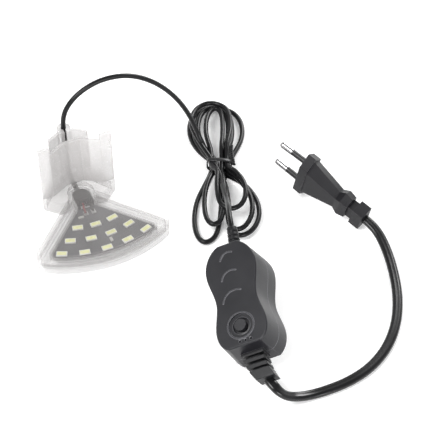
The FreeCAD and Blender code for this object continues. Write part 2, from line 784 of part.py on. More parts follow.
def controller_top():
    """Upper half of the case: crescents, button dish and ring, vents."""
    top = CONTROLLER_DEPTH
    shell = case_body(CONTROLLER_SPLIT, top, 0)
    shell = shell.makeFillet(CONTROLLER_EDGE, edges_at(shell, top))
    shell = shell.cut(case_body(CONTROLLER_SPLIT - 0.001, top - CASE_WALL, CASE_WALL))
    dish = post(BUTTON_X, 0, top - DISH_DEPTH, DISH_D - 2 * RING_WALL, top + 1)
    ring = post(BUTTON_X, 0, top - 0.2, DISH_D, top + CRESCENT_RISE)
    seat = post(BUTTON_X, 0, button_seat(), DISH_D, top - CASE_WALL / 2)
    bosses = [post(x, y, CONTROLLER_SPLIT, BOSS_D, top - 1) for x, y in SCREW_SPOTS]
    added = [crescent(start, radius) for start, radius in CRESCENTS] + [ring, seat] + bosses
    bore = post(BUTTON_X, 0, top - 6, BUTTON_BORE, top + 1)
    vents = [post(VENT_X, VENT_Y + k * VENT_PITCH, top - 4, VENT_D, top + 1) for k in (-1, 0, 1)]
    return cut(fuse([shell] + added), [dish, bore] + vents + screw_room() + relief_neck_room())


def push_button():
    """Round button with a flange that keeps it in the case."""
    top = CONTROLLER_DEPTH - DISH_DEPTH + BUTTON_PROUD
    collar_top = CONTROLLER_DEPTH - BUTTON_WELL
    flange_top = button_seat() - BUTTON_FREE_PLAY
    flange_low = flange_top - BUTTON_FLANGE
    return fuse([
        post(BUTTON_X, 0, flange_low, BUTTON_D, top),
        post(BUTTON_X, 0, flange_low, BUTTON_BORE - 2 * BUTTON_GAP, collar_top),
        post(BUTTON_X, 0, flange_low, BUTTON_BORE + 2 * BUTTON_LIP, flange_top),
        post(BUTTON_X, 0, top - BUTTON_HEIGHT, BUTTON_STEM_D, flange_low),
    ])


def switch_body():
    """Push switch under the button, standing on the board."""
    bottom = CONTROLLER_DEPTH - DISH_DEPTH + BUTTON_PROUD - BUTTON_HEIGHT
    high = bottom - BUTTON_TRAVEL - SWITCH_GAP
    return box(BUTTON_X, 0, CASE_BOARD_TOP, SWITCH_WIDTH, SWITCH_WIDTH, high)


def driver_board():
    """Circuit board in the case."""
    length = CONTROLLER_LENGTH - 2 * (CASE_WALL + CASE_BOARD_MARGIN)
    board = box(0, 0, CASE_BOARD_Z, length, CASE_BOARD_WIDTH, CASE_BOARD_TOP)
    return cut(board, [post(x, y, 0, BOSS_D + 1, CONTROLLER_SPLIT) for x, y in SCREW_SPOTS])


def transformer_core():
    """Ferrite core: two legs and two yokes round the winding."""
    low = CASE_BOARD_TOP
    length, width, height = TRANSFORMER
    block = box(TRANSFORMER_X, 0, low, length, width, low + height)
    gap = WINDING_D + 2 * WINDING_GAP
    return block.cut(box(TRANSFORMER_X, 0, low + YOKE, gap, 2 * width, low + height - YOKE))


def transformer_winding():
    """Copper winding between the yokes."""
    low = CASE_BOARD_TOP + YOKE
    return post(TRANSFORMER_X, 0, low, WINDING_D, CASE_BOARD_TOP + TRANSFORMER[2] - YOKE)


def filter_capacitor():
    """Round capacitor on the board."""
    return post(CAPACITOR_X, 0, CASE_BOARD_TOP, CAPACITOR_D, CASE_BOARD_TOP + CAPACITOR_H)


def case_screws():
    """The two screws that hold the case halves together."""
    return Part.makeCompound([screw(x, y, 0) for x, y in SCREW_SPOTS])


def dc_strain_relief():
    """Round ribbed relief at the low-voltage end, with the cord's hole."""
    end = -CONTROLLER_LENGTH / 2
    back = V(-1, 0, 0)
    start = V(end + RELIEF_SEAT, 0, RELIEF_Z)
    root = DC_RELIEF_D / 2 - RELIEF_GAP
    body = Part.makeCone(root, DC_RELIEF_TAPER_END / 2, DC_RELIEF_LENGTH + RELIEF_SEAT, start, back)
    step = DC_RELIEF_LENGTH / DC_RELIEF_RINGS
    grooves = []
    for k in range(DC_RELIEF_RINGS):
        at = V(end - k * step - step + RELIEF_GROOVE, 0, RELIEF_Z)
        ring = Part.makeCylinder(DC_RELIEF_D, RELIEF_GROOVE, at, back)
        grooves.append(ring.cut(Part.makeCylinder(CORD_D / 2 + DC_RELIEF_WEB, RELIEF_GROOVE, at, back)))
    return cut(body, grooves[:-1])


def relief_lean(out):
    """Sideways lean of the bent mains relief at a distance out of the end wall."""
    return MAINS_RELIEF_LEAN * (max(out, 0) / MAINS_RELIEF_LENGTH) ** 2


def rectangle_x(x, y, width, height):
    """Closed rectangle across the X axis, centred on the reliefs' height."""
    half_w = width / 2
    half_h = height / 2
    signs = ((-1, -1), (1, -1), (1, 1), (-1, 1), (-1, -1))
    return Part.makePolygon([V(x, y + i * half_w, RELIEF_Z + j * half_h) for i, j in signs])


def mains_strain_relief():
    """Square ribbed relief at the mains end, bent to one side and closed by a thicker block."""
    wall = CONTROLLER_LENGTH / 2
    (wide, tall), (narrow, low) = MAINS_RELIEF_SIZE
    sections = [rectangle_x(wall - RELIEF_SEAT, 0, wide - 2 * RELIEF_GAP, tall - 2 * RELIEF_GAP)]
    for k in range(MAINS_RELIEF_SECTIONS):
        share = k / (MAINS_RELIEF_SECTIONS - 1)
        out = MAINS_RELIEF_LENGTH * share
        width = wide - 2 * RELIEF_GAP + (narrow - wide) * share
        height = tall - 2 * RELIEF_GAP + (low - tall) * share
        sections.append(rectangle_x(wall + out, relief_lean(out), width, height))
    body = Part.makeLoft(sections, True, True)
    step = (MAINS_RELIEF_LENGTH - MAINS_RELIEF_BLOCK) / MAINS_RELIEF_RIBS
    web_w = LEAD_W + 2 * MAINS_RELIEF_WEB
    web_t = LEAD_T + 2 * MAINS_RELIEF_WEB
    for k in range(MAINS_RELIEF_RIBS):
        out = (k + 1) * step - RELIEF_GROOVE / 2
        groove = box(wall + out, 0, RELIEF_Z - tall, RELIEF_GROOVE, 3 * wide, RELIEF_Z + tall)
        web = box(wall + out, relief_lean(out), -web_t / 2, RELIEF_GROOVE, web_w, web_t / 2)
        kept = web.translated(V(0, 0, RELIEF_Z))
        body = body.cut(groove.cut(kept))
    return body


# ------------------------------------------------------------------ plug


def plug_section(x, flat, width, thickness):
    """Six-sided section of the plug across its X axis: flat sides and pointed edges."""
    half_t = thickness / 2
    corners = (
        (-half_t, -flat / 2), (0, -width / 2), (half_t, -flat / 2),
        (half_t, flat / 2), (0, width / 2), (-half_t, flat / 2),
    )
    points = [V(x, y, z) for y, z in corners]
    return Part.makePolygon(points + [points[0]])


def plug_loft(stations):
    """Ruled solid through plug sections."""
    flat = PLUG_FLAT / PLUG_WIDTH
    sections = [plug_section(x, width * flat, width, thick) for x, width, thick in stations]
    return Part.makeLoft(sections, True, True)


def plug_body():
    """Moulded plug: collar, waisted grip, flare, neck and end block."""
    grip_end = -COLLAR_LENGTH - GRIP_LENGTH
    flare_start = grip_end + FLARE_LENGTH
    neck_end = grip_end - NECK_LENGTH
    collar = plug_loft([(-COLLAR_LENGTH, PLUG_WIDTH, PLUG_THICKNESS), (0, PLUG_WIDTH, PLUG_THICKNESS)])
    grip = plug_loft([
        (grip_end, FLARE_END[0], FLARE_END[1]),
        (flare_start, FLARE_W, FLARE_T),
        (flare_start + FLARE_FADE, GRIP_W[1], GRIP_T[1]),
        (-COLLAR_LENGTH, GRIP_W[0], GRIP_T[0]),
    ])
    neck = Part.makeBox(NECK_LENGTH, NECK_W[1], NECK_W[0], V(neck_end, -NECK_W[1] / 2, -NECK_W[0] / 2))
    block_at = V(neck_end - BLOCK_LENGTH, -BLOCK_SIZE[1] / 2, -BLOCK_SIZE[0] / 2)
    block = Part.makeBox(BLOCK_LENGTH, BLOCK_SIZE[1], BLOCK_SIZE[0], block_at)
    body = fuse([collar, grip, neck, block])
    return cut(body, [pin_outline(side, SLEEVE_D, -PIN_ROOT, PIN_D / 2) for side in (-1, 1)])


def pin_line(side):
    """Root point on the collar's face and direction of one pin; the tips lean together."""
    root = V(0, 0, side * PIN_PITCH / 2)
    tip = V(PIN_LENGTH, 0, side * PIN_TIP_PITCH / 2)
    return root, (tip - root).normalize()


def pin_outline(side, diameter, start, end):
    """Cylinder on a pin's axis between two distances from the collar's face."""
    root, along = pin_line(side)
    return Part.makeCylinder(diameter / 2, end - start, root + along * start, along)


def plug_pin(side):
    """Metal pin with a rounded tip; its sleeved part is thinner."""
    root, along = pin_line(side)
    radius = PIN_D / 2
    bare = pin_outline(side, PIN_D, PIN_SLEEVE_LENGTH, PIN_LENGTH - radius)
    tip = Part.makeSphere(radius, root + along * (PIN_LENGTH - radius))
    return fuse([bare, tip, pin_outline(side, PIN_CORE_D, -PIN_ROOT, PIN_SLEEVE_LENGTH)])


def pin_sleeve(side):
    """Insulating sleeve over the pin's root half."""
    sleeve = pin_outline(side, SLEEVE_D, -PIN_ROOT, PIN_SLEEVE_LENGTH)
    return sleeve.cut(pin_outline(side, PIN_CORE_D, -PIN_ROOT, PIN_SLEEVE_LENGTH))


def plug_placement():
    """Pose of the plug, standing on its narrow edge with the pins up."""
    turn = FreeCAD.Rotation(UP, PLUG_HEADING)
    turn = turn.multiply(FreeCAD.Rotation(V(0, 1, 0), PLUG_PITCH))
    turn = turn.multiply(FreeCAD.Rotation(V(1, 0, 0), PLUG_ROLL))
    pose = FreeCAD.Placement(V(PLUG_XY[0], PLUG_XY[1], 0), turn)
    lowest = plug_body()
    lowest.Placement = pose
    pose.Base.z = -lowest.BoundBox.ZMin
    return pose


def lead_section(at, along):
    """Flat section of the mains lead, broad side level."""
    side = UP.cross(along).normalize()
    flat = (LEAD_W - LEAD_T) / 2
    radius = LEAD_T / 2
    right = at + side * flat
    left = at - side * flat
    rise = along.cross(side).normalize() * radius
    return Part.Wire([
        Part.LineSegment(left + rise, right + rise).toShape(),
        Part.Arc(right + rise, right + side * radius, right - rise).toShape(),
        Part.LineSegment(right - rise, left - rise).toShape(),
        Part.Arc(left - rise, left - side * radius, left + rise).toShape(),
    ])


def mains_lead(case, plug):
    """Flat two-core lead, straight out of the controller's relief and into the plug's end block."""
    relief_tip = CONTROLLER_LENGTH / 2 + MAINS_RELIEF_LENGTH
    plug_tail = -COLLAR_LENGTH - GRIP_LENGTH - NECK_LENGTH - BLOCK_LENGTH
    slope = 2 * MAINS_RELIEF_LEAN / MAINS_RELIEF_LENGTH
    steps = [(relief_tip + step, MAINS_RELIEF_LEAN + slope * step) for step in (0, LEAD_EXIT)]
    start = [case.multVec(V(x, y, RELIEF_Z)) for x, y in steps]
    end = [plug.multVec(V(plug_tail - step, 0, 0)) for step in (PLUG_EXIT, 0)]
    points = [tuple(p) for p in start] + list(LEAD_POINTS) + [tuple(p) for p in end]
    print("mains lead ends", [[round(c, 2) for c in p] for p in points[:2] + points[-2:]])
    wire, radii = rounded_route(points)
    print("mains lead radii", [round(r, 1) for r in radii])
    along = V(*points[1]) - V(*points[0])
    profile = lead_section(V(*points[0]), along.normalize())
    area = math.pi * LEAD_T ** 2 / 4 + (LEAD_W - LEAD_T) * LEAD_T
    return swept(wire, profile, area, "mains lead")


# ------------------------------------------------------------------ assembly


def build():
    """Every node's name and shape."""
    case = controller_placement()
    plug = plug_placement()
    nodes = {
        "head_base": head_base(),
        "head_cover": head_cover(),
        "led_board": led_board(),
        "led_packages": led_packages(),
        "led_phosphors": led_phosphors(),
        "board_resistors": board_resistors(),
        "solder_pads": solder_pads(),
        "core_red": core(-1),
        "core_black": core(1),
        "neck_sealant": neck_sealant(),
        "clip_base": clip_base(),
        "clip_front_jaw": clip_front_jaw(),
        "clip_rear_jaw": clip_rear_jaw(),
        "cord_in_clip": cord_in_clip(),
        "dc_cord": round_cord(CORD_ARC_POINTS, CORD_D, "dc cord"),
        "dc_cord_hank": dc_cord_hank(),
        "hank_tie": hank_tie(),
        "dc_cord_tail": dc_cord_tail(case),
        "mains_lead": mains_lead(case, plug),
    }
    in_case = {
        "controller_base": controller_base(),
        "controller_top": controller_top(),
        "push_button": push_button(),
        "switch_body": switch_body(),
        "driver_board": driver_board(),
        "transformer_core": transformer_core(),
        "transformer_winding": transformer_winding(),
        "filter_capacitor": filter_capacitor(),
        "case_screws": case_screws(),
        "dc_strain_relief": dc_strain_relief(),
        "mains_strain_relief": mains_strain_relief(),
    }
    on_plug = {
        "plug_body": plug_body(),
        "plug_pin_upper": plug_pin(1),
        "plug_pin_lower": plug_pin(-1),
        "pin_sleeve_upper": pin_sleeve(1),
        "pin_sleeve_lower": pin_sleeve(-1),
    }
    nodes.update({name: posed(shape, case) for name, shape in in_case.items()})
    nodes.update({name: posed(shape, plug) for name, shape in on_plug.items()})
    return nodes


os.makedirs("parts", exist_ok=True)
for node, solid in build().items():
    solid.exportStep("parts/" + node + ".step")
    print(node, len(solid.Solids), round(solid.Volume), solid.isValid())
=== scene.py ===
"""Looks of a clip-on aquarium lamp: clear head and clip, hank of spare cord, controller, lead and plug.

Lengths are metres in the lamp's own frame: +Z up, X along the clip's width, the fan spreads to -Y.
Routes of cords, the hank and the tie are millimetres, and are scaled where their meshes are made.
"""

import json
import logging
import math
from dataclasses import dataclass
from enum import Enum
from typing import Any, Callable, ClassVar, Optional, Sequence

import bpy
from mathutils import Matrix, Vector

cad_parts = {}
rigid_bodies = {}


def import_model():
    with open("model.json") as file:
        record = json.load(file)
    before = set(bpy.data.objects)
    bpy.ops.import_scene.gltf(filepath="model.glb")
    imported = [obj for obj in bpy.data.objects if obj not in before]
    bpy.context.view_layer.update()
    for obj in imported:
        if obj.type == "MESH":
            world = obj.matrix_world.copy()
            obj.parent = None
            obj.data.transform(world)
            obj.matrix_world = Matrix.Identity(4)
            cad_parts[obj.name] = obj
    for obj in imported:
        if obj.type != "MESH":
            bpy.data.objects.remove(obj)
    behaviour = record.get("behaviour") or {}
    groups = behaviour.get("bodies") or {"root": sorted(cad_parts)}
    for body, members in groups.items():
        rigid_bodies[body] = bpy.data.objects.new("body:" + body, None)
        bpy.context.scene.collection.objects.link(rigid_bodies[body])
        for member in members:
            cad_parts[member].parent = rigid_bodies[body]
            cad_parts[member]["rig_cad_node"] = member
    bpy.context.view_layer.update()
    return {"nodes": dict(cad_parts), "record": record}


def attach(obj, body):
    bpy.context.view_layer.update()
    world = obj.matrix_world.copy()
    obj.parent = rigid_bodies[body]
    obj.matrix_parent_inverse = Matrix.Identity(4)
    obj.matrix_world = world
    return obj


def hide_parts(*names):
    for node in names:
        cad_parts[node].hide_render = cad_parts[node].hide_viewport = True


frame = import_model()
LOG = logging.getLogger("aquarium_lamp")
UP = Vector((0.0, 0.0, 1.0))
MM = 0.001
WELD_DISTANCE = 0.002 * MM
COPY_CREASE = math.radians(32.0)
SOFT_CREASE = math.radians(35.0)
TUBE_CREASE = math.radians(50.0)
BEVEL_FROM = math.radians(40.0)
Point = tuple[float, float, float]
Colour = tuple[float, float, float]
WHITE = (1.0, 1.0, 1.0, 1.0)
INK: Colour = (0.0045, 0.0045, 0.0050)
SOFT_INK: Colour = (0.0105, 0.0105, 0.0115)


class Slot(Enum):
    """Material slots of the record that the new pieces take their finish from."""

    CLEAR = "clear_plastic"
    BOARD = "board_dark"
    LED_FRAME = "led_frame_white"
    PHOSPHOR = "led_phosphor"
    CHIP = "chip_ceramic"
    SOLDER = "solder"
    CORE_RED = "core_red"
    CORE_BLACK = "core_black"
    SEALANT = "sealant"
    CORD = "cord_black"
    TIE = "tie_black"
    CASE = "case_black"
    BUTTON = "button_black"
    RELIEF = "relief_black"
    LEAD = "lead_black"
    SWITCH = "switch_plastic"
    DRIVER_BOARD = "driver_board_green"
    FERRITE = "ferrite"
    COPPER = "winding_copper"
    CAPACITOR = "capacitor_sleeve"
    SCREW = "screw_steel"
    PLUG = "plug_black"
    PIN = "pin_metal"
    SLEEVE = "sleeve_black"


class Body(Enum):
    """Moving bodies of the lamp."""

    LAMP = "lamp"
    BUTTON = "button"


# ---------------------------------------------------------------- shader maths


class Signal:
    """A shader socket that Python's arithmetic operators can be used on."""

    def __init__(self, graph: "Graph", socket: bpy.types.NodeSocket) -> None:
        """Wrap a socket.

        Args:
            graph: The graph that new Math nodes go to.
            socket: The output socket that carries the value.
        """
        self.graph = graph
        self.socket = socket

    def _math(self, operation: str, left: Any, right: Any) -> "Signal":
        """Add a Math node for two operands and return its result."""
        node = self.graph.node("ShaderNodeMath", {"operation": operation}, {0: left, 1: right})
        return Signal(self.graph, node.outputs[0])

    def __add__(self, other: Any) -> "Signal":
        """Sum."""
        return self._math("ADD", self, other)

    def __radd__(self, other: Any) -> "Signal":
        """Sum, reflected."""
        return self._math("ADD", other, self)

    def __sub__(self, other: Any) -> "Signal":
        """Difference."""
        return self._math("SUBTRACT", self, other)

    def __rsub__(self, other: Any) -> "Signal":
        """Difference, reflected."""
        return self._math("SUBTRACT", other, self)

    def __mul__(self, other: Any) -> "Signal":
        """Product."""
        return self._math("MULTIPLY", self, other)

    def __rmul__(self, other: Any) -> "Signal":
        """Product, reflected."""
        return self._math("MULTIPLY", other, self)

    def __pow__(self, other: Any) -> "Signal":
        """Power."""
        return self._math("POWER", self, other)


class Graph:
    """Node tree of one material or world, with short ways to add nodes to it."""

    def __init__(self, name: str, in_world: bool = False) -> None:
        """Make a material, or a world, with an empty tree.

        Args:
            name: The material's or world's name.
            in_world: True for a world.
        """
        self.owner = (bpy.data.worlds if in_world else bpy.data.materials).new(name)
        self.owner.use_nodes = True
        self.tree = self.owner.node_tree
        self.tree.nodes.clear()

    def node(self, kind: str, settings: dict[str, Any], inputs: dict[Any, Any]) -> bpy.types.Node:
        """Add a node, set its settings first and then fill its sockets.

        Args:
            kind: The node's type name.
            settings: Attributes of the node; "ramp" holds a colour ramp's stops.
            inputs: Socket names or numbers with their values or links.

        Returns:
            The new node.
        """
        made = self.tree.nodes.new(kind)
        for key, value in settings.items():
            if key == "ramp":
                self._fill_ramp(made, value)
            else:
                setattr(made, key, value)
        for key, value in inputs.items():
            socket = made.inputs[key]
            if isinstance(value, Signal):
                self.tree.links.new(value.socket, socket)
            elif isinstance(value, bpy.types.NodeSocket):
                self.tree.links.new(value, socket)
            else:
                socket.default_value = value
        return made

    @staticmethod
    def _fill_ramp(made: bpy.types.Node, stops: Sequence[tuple[float, Colour]]) -> None:
        """Set a colour ramp's stops.

        Args:
            made: The Color Ramp node.
            stops: Places from 0 to 1 with their colours.
        """
        elements = made.color_ramp.elements
        while len(elements) < len(stops):
            elements.new(1.0)
        for element, (place, colour) in zip(elements, stops):
            element.position = place
            element.color = (*colour, 1.0)

    def coordinates(self, scale: Point = (1.0, 1.0, 1.0)) -> bpy.types.NodeSocket:
        """Object coordinates through a Mapping node.

        Args:
            scale: How much each axis is stretched.

        Returns:
            The stretched coordinates.
        """
        place = self.node("ShaderNodeTexCoord", {}, {})
        mapped = self.node("ShaderNodeMapping", {}, {"Vector": place.outputs["Object"], "Scale": scale})
        return mapped.outputs["Vector"]

    def noise(self, vector: bpy.types.NodeSocket, scale: float, detail: float = 3.0) -> Signal:
        """Noise texture's value."""
        made = self.node("ShaderNodeTexNoise", {}, {"Vector": vector, "Scale": scale, "Detail": detail})
        return Signal(self, made.outputs[0])

    def cells(self, vector: bpy.types.NodeSocket, scale: float) -> Signal:
        """Distance to the nearest cell centre of a Voronoi texture."""
        made = self.node("ShaderNodeTexVoronoi", {}, {"Vector": vector, "Scale": scale})
        return Signal(self, made.outputs["Distance"])

    def ramp(self, factor: Signal, stops: Sequence[tuple[float, Colour]]) -> bpy.types.NodeSocket:
        """Colour ramp over a factor."""
        made = self.node("ShaderNodeValToRGB", {"ramp": stops}, {"Fac": factor})
        return made.outputs["Color"]

    def spread(self, factor: Signal, low: float, high: float, start: float = 0.0, end: float = 1.0) -> Signal:
        """Map a factor from one range to another and hold it inside.

        Args:
            factor: The value to map.
            low: Result at the start of the range.
            high: Result at its end.
            start: Start of the factor's own range.
            end: End of the factor's own range.

        Returns:
            The mapped value.
        """
        made = self.node(
            "ShaderNodeMapRange",
            {"clamp": True},
            {"Value": factor, "From Min": start, "From Max": end, "To Min": low, "To Max": high},
        )
        return Signal(self, made.outputs[0])

    def bump(self, height: Signal, strength: float, distance: float) -> bpy.types.NodeSocket:
        """Normal bent by a height."""
        made = self.node("ShaderNodeBump", {}, {"Height": height, "Strength": strength, "Distance": distance})
        return made.outputs["Normal"]

    def edges(self, radius: float, gain: float) -> Signal:
        """Mask of the surface near its sharp edges, where the finishes paint their edge highlights.

        Args:
            radius: How far from an edge the mask reaches.
            gain: How quickly it rises.

        Returns:
            0 on flat faces to 1 on the edges.
        """
        rounded = self.node("ShaderNodeBevel", {"samples": 8}, {"Radius": radius})
        shape = self.node("ShaderNodeNewGeometry", {}, {})
        match = self.node(
            "ShaderNodeVectorMath",
            {"operation": "DOT_PRODUCT"},
            {0: rounded.outputs["Normal"], 1: shape.outputs["True Normal"]},
        )
        return self.spread((1.0 - Signal(self, match.outputs["Value"])) * gain, 0.0, 1.0)

    def blend(self, factor: Signal, first: Any, second: Any) -> bpy.types.NodeSocket:
        """Mix two colours, each a socket or a plain colour.

        Args:
            factor: 0 for the first colour, 1 for the second.
            first: The first colour.
            second: The second colour.

        Returns:
            The mixed colour.
        """
        low, high = ((*colour, 1.0) if isinstance(colour, tuple) else colour for colour in (first, second))
        made = self.node("ShaderNodeMix", {"data_type": "RGBA"}, {0: factor, 6: low, 7: high})
        return made.outputs[2]

    def facing(self, blend: float) -> Signal:
        """How far the surface turns away from the view."""
        made = self.node("ShaderNodeLayerWeight", {}, {"Blend": blend})
        return Signal(self, made.outputs["Facing"])

    def principled(self, inputs: dict[str, Any]) -> bpy.types.Node:
        """Principled shader with the given sockets filled."""
        return self.node("ShaderNodeBsdfPrincipled", {}, inputs)

    def finish(self, shader: bpy.types.Node) -> bpy.types.Material:
        """Send a shader to the material's output."""
        self.node("ShaderNodeOutputMaterial", {}, {"Surface": shader.outputs[0]})
        return self.owner


# ---------------------------------------------------------------- finishes


@dataclass(frozen=True)
class ClearPlastic:
    """Clear moulded plastic, milky where the view runs along its walls, with flow marks and fine scuffs."""

    name: str
    thin: Colour = (0.50, 0.485, 0.48)
    thick: Colour = (0.59, 0.575, 0.57)
    face_alpha: float = 0.11
    edge_alpha: float = 0.95
    power: float = 2.6
    rough: tuple[float, float] = (0.10, 0.22)
    # rim colour, width, alpha and gain: a painted highlight along the rounded rims
    rim: Colour = (0.72, 0.71, 0.705)
    rim_highlight_width: float = 0.45 * MM
    rim_highlight_alpha: float = 0.5
    rim_highlight_gain: float = 3.0
    flow_scale: float = 70.0
    flow_stretch: Point = (1.0, 1.0, 0.35)
    scuff_scale: float = 1100.0
    relief: float = 0.07
    relief_depth: float = 0.4 * MM

    def material(self) -> bpy.types.Material:
        """Build the material: how solid it looks grows towards its edges, and a painted highlight makes its
        rounded rims paler and more solid.

        Returns:
            The material.
        """
        graph = Graph(self.name)
        flow = graph.noise(graph.coordinates(self.flow_stretch), self.flow_scale)
        scuffs = graph.noise(graph.coordinates(), self.scuff_scale)
        turned = graph.facing(0.5) ** self.power
        cloud = graph.spread(flow, 0.88, 1.12, 0.3, 0.7)
        # rim: painted highlight mask; it pales the colour and makes the rims more solid
        rim = graph.edges(self.rim_highlight_width, self.rim_highlight_gain)
        solid = turned * (self.edge_alpha - self.face_alpha) + self.face_alpha
        body = graph.ramp(flow * 0.6 + scuffs * 0.4, ((0.3, self.thin), (0.7, self.thick)))
        shader = graph.principled({
            "Base Color": graph.blend(rim, body, self.rim),
            "Roughness": graph.spread(scuffs, self.rough[0], self.rough[1], 0.35, 0.65),
            "IOR": 1.49,
            "Alpha": graph.spread(solid * cloud + rim * self.rim_highlight_alpha, 0.0, 1.0),
            "Normal": graph.bump(flow + scuffs * 0.10, self.relief, self.relief_depth),
        })
        return graph.finish(shader)


@dataclass(frozen=True)
class Moulded:
    """Opaque moulded plastic or rubber: mottled colour, uneven gloss and a fine grain, with a painted
    highlight along its edges where it has an edge colour.
    """

    name: str
    dark: Colour
    light: Colour
    rough: tuple[float, float] = (0.38, 0.52)
    grain: float = 1800.0
    grain_strength: float = 0.12
    grain_depth: float = 0.00012
    mottle: float = 55.0
    specular: float = 0.5
    # edge colour, width and gain: a painted highlight along the rounded edges
    edge: Optional[Colour] = None
    edge_highlight_width: float = 0.35 * MM
    edge_highlight_gain: float = 3.6

    def material(self) -> bpy.types.Material:
        """Build the material from two scales of noise; where it has an edge colour, a painted highlight makes
        it paler along its edges.

        Returns:
            The material.
        """
        graph = Graph(self.name)
        place = graph.coordinates()
        broad = graph.noise(place, self.mottle, 4.0)
        fine = graph.noise(place, self.grain, 2.0)
        colour = graph.ramp(broad * 0.7 + fine * 0.3, ((0.32, self.dark), (0.68, self.light)))
        if self.edge is not None:
            # painted highlight: paler colour along the rounded edges, patchy with the mottle
            painted_edge_highlight = graph.edges(self.edge_highlight_width, self.edge_highlight_gain) * (0.55 + broad * 0.6)
            colour = graph.blend(painted_edge_highlight, colour, self.edge)
        shader = graph.principled({
            "Base Color": colour,
            "Roughness": graph.spread(broad, self.rough[0], self.rough[1], 0.3, 0.7),
            "Specular IOR Level": self.specular,
            "Normal": graph.bump(fine, self.grain_strength, self.grain_depth),
        })
        return graph.finish(shader)


@dataclass(frozen=True)
class Metal:
    """Plated or drawn metal with fine scratches along one axis."""

    name: str
    dark: Colour
    light: Colour
    rough: tuple[float, float] = (0.16, 0.32)
    brush: Point = (900.0, 900.0, 60.0)
    stain_scale: float = 140.0
    relief: float = 0.08
    relief_depth: float = 0.05 * MM

    def material(self) -> bpy.types.Material:
        """Build the material from stretched noise.

        Returns:
            The material.
        """
        graph = Graph(self.name)
        brushed = graph.noise(graph.coordinates(self.brush), 1.0)
        stain = graph.noise(graph.coordinates(), self.stain_scale)
        colour = graph.ramp(brushed * 0.5 + stain * 0.5, ((0.35, self.dark), (0.65, self.light)))
        shader = graph.principled({
            "Base Color": colour,
            "Metallic": 1.0,
            "Roughness": graph.spread(brushed, self.rough[0], self.rough[1], 0.3, 0.7),
            "Normal": graph.bump(brushed, self.relief, self.relief_depth),
        })
        return graph.finish(shader)


@dataclass(frozen=True)
class SolderMask:
    """Dark solder mask over copper: faint traces and a glassy skin."""

    name: str
    dark: Colour
    light: Colour
    trace_pitch: float = 420.0
    trace_width: float = 0.035
    dust_scale: float = 700.0
    relief: float = 0.15
    relief_depth: float = 0.08 * MM

    def material(self) -> bpy.types.Material:
        """Build the material from a brick pattern of traces under the mask.

        Returns:
            The material.
        """
        graph = Graph(self.name)
        place = graph.coordinates()
        bricks = graph.node(
            "ShaderNodeTexBrick",
            {"offset": 0.37, "squash": 1.0},
            {
                "Vector": place, "Scale": self.trace_pitch,
                "Mortar Size": self.trace_width, "Mortar Smooth": 0.4,
            },
        )
        traces = Signal(graph, bricks.outputs["Fac"])
        dust = graph.noise(place, self.dust_scale)
        colour = graph.ramp(dust * 0.6 + traces * 0.25, ((0.25, self.dark), (0.75, self.light)))
        shader = graph.principled({
            "Base Color": colour,
            "Roughness": graph.spread(dust, 0.42, 0.62, 0.3, 0.7),
            "Normal": graph.bump(traces + dust * 0.3, self.relief, self.relief_depth),
        })
        return graph.finish(shader)


@dataclass(frozen=True)
class Phosphor:
    """Phosphor gel of an LED: yellow-green, paler where it is thin, with grains in it."""

    deep: Colour = (0.60, 0.60, 0.20)
    pale: Colour = (0.78, 0.78, 0.42)
    cloud_scale: float = 380.0
    grain_scale: float = 5200.0
    relief: float = 0.2
    relief_depth: float = 0.05 * MM

    def material(self) -> bpy.types.Material:
        """Build the material from grains and a soft cloud.

        Returns:
            The material.
        """
        graph = Graph("led_phosphor")
        place = graph.coordinates()
        cloud = graph.noise(place, self.cloud_scale)
        grains = graph.cells(place, self.grain_scale)
        colour = graph.ramp(cloud * 0.75 + grains * 0.25, ((0.25, self.deep), (0.6, self.pale)))
        shader = graph.principled({
            "Base Color": colour,
            "Roughness": graph.spread(grains, 0.2, 0.4, 0.0, 0.6),
            "Coat Weight": 0.5,
            "Coat Roughness": 0.12,
            "Normal": graph.bump(grains, self.relief, self.relief_depth),
        })
        return graph.finish(shader)


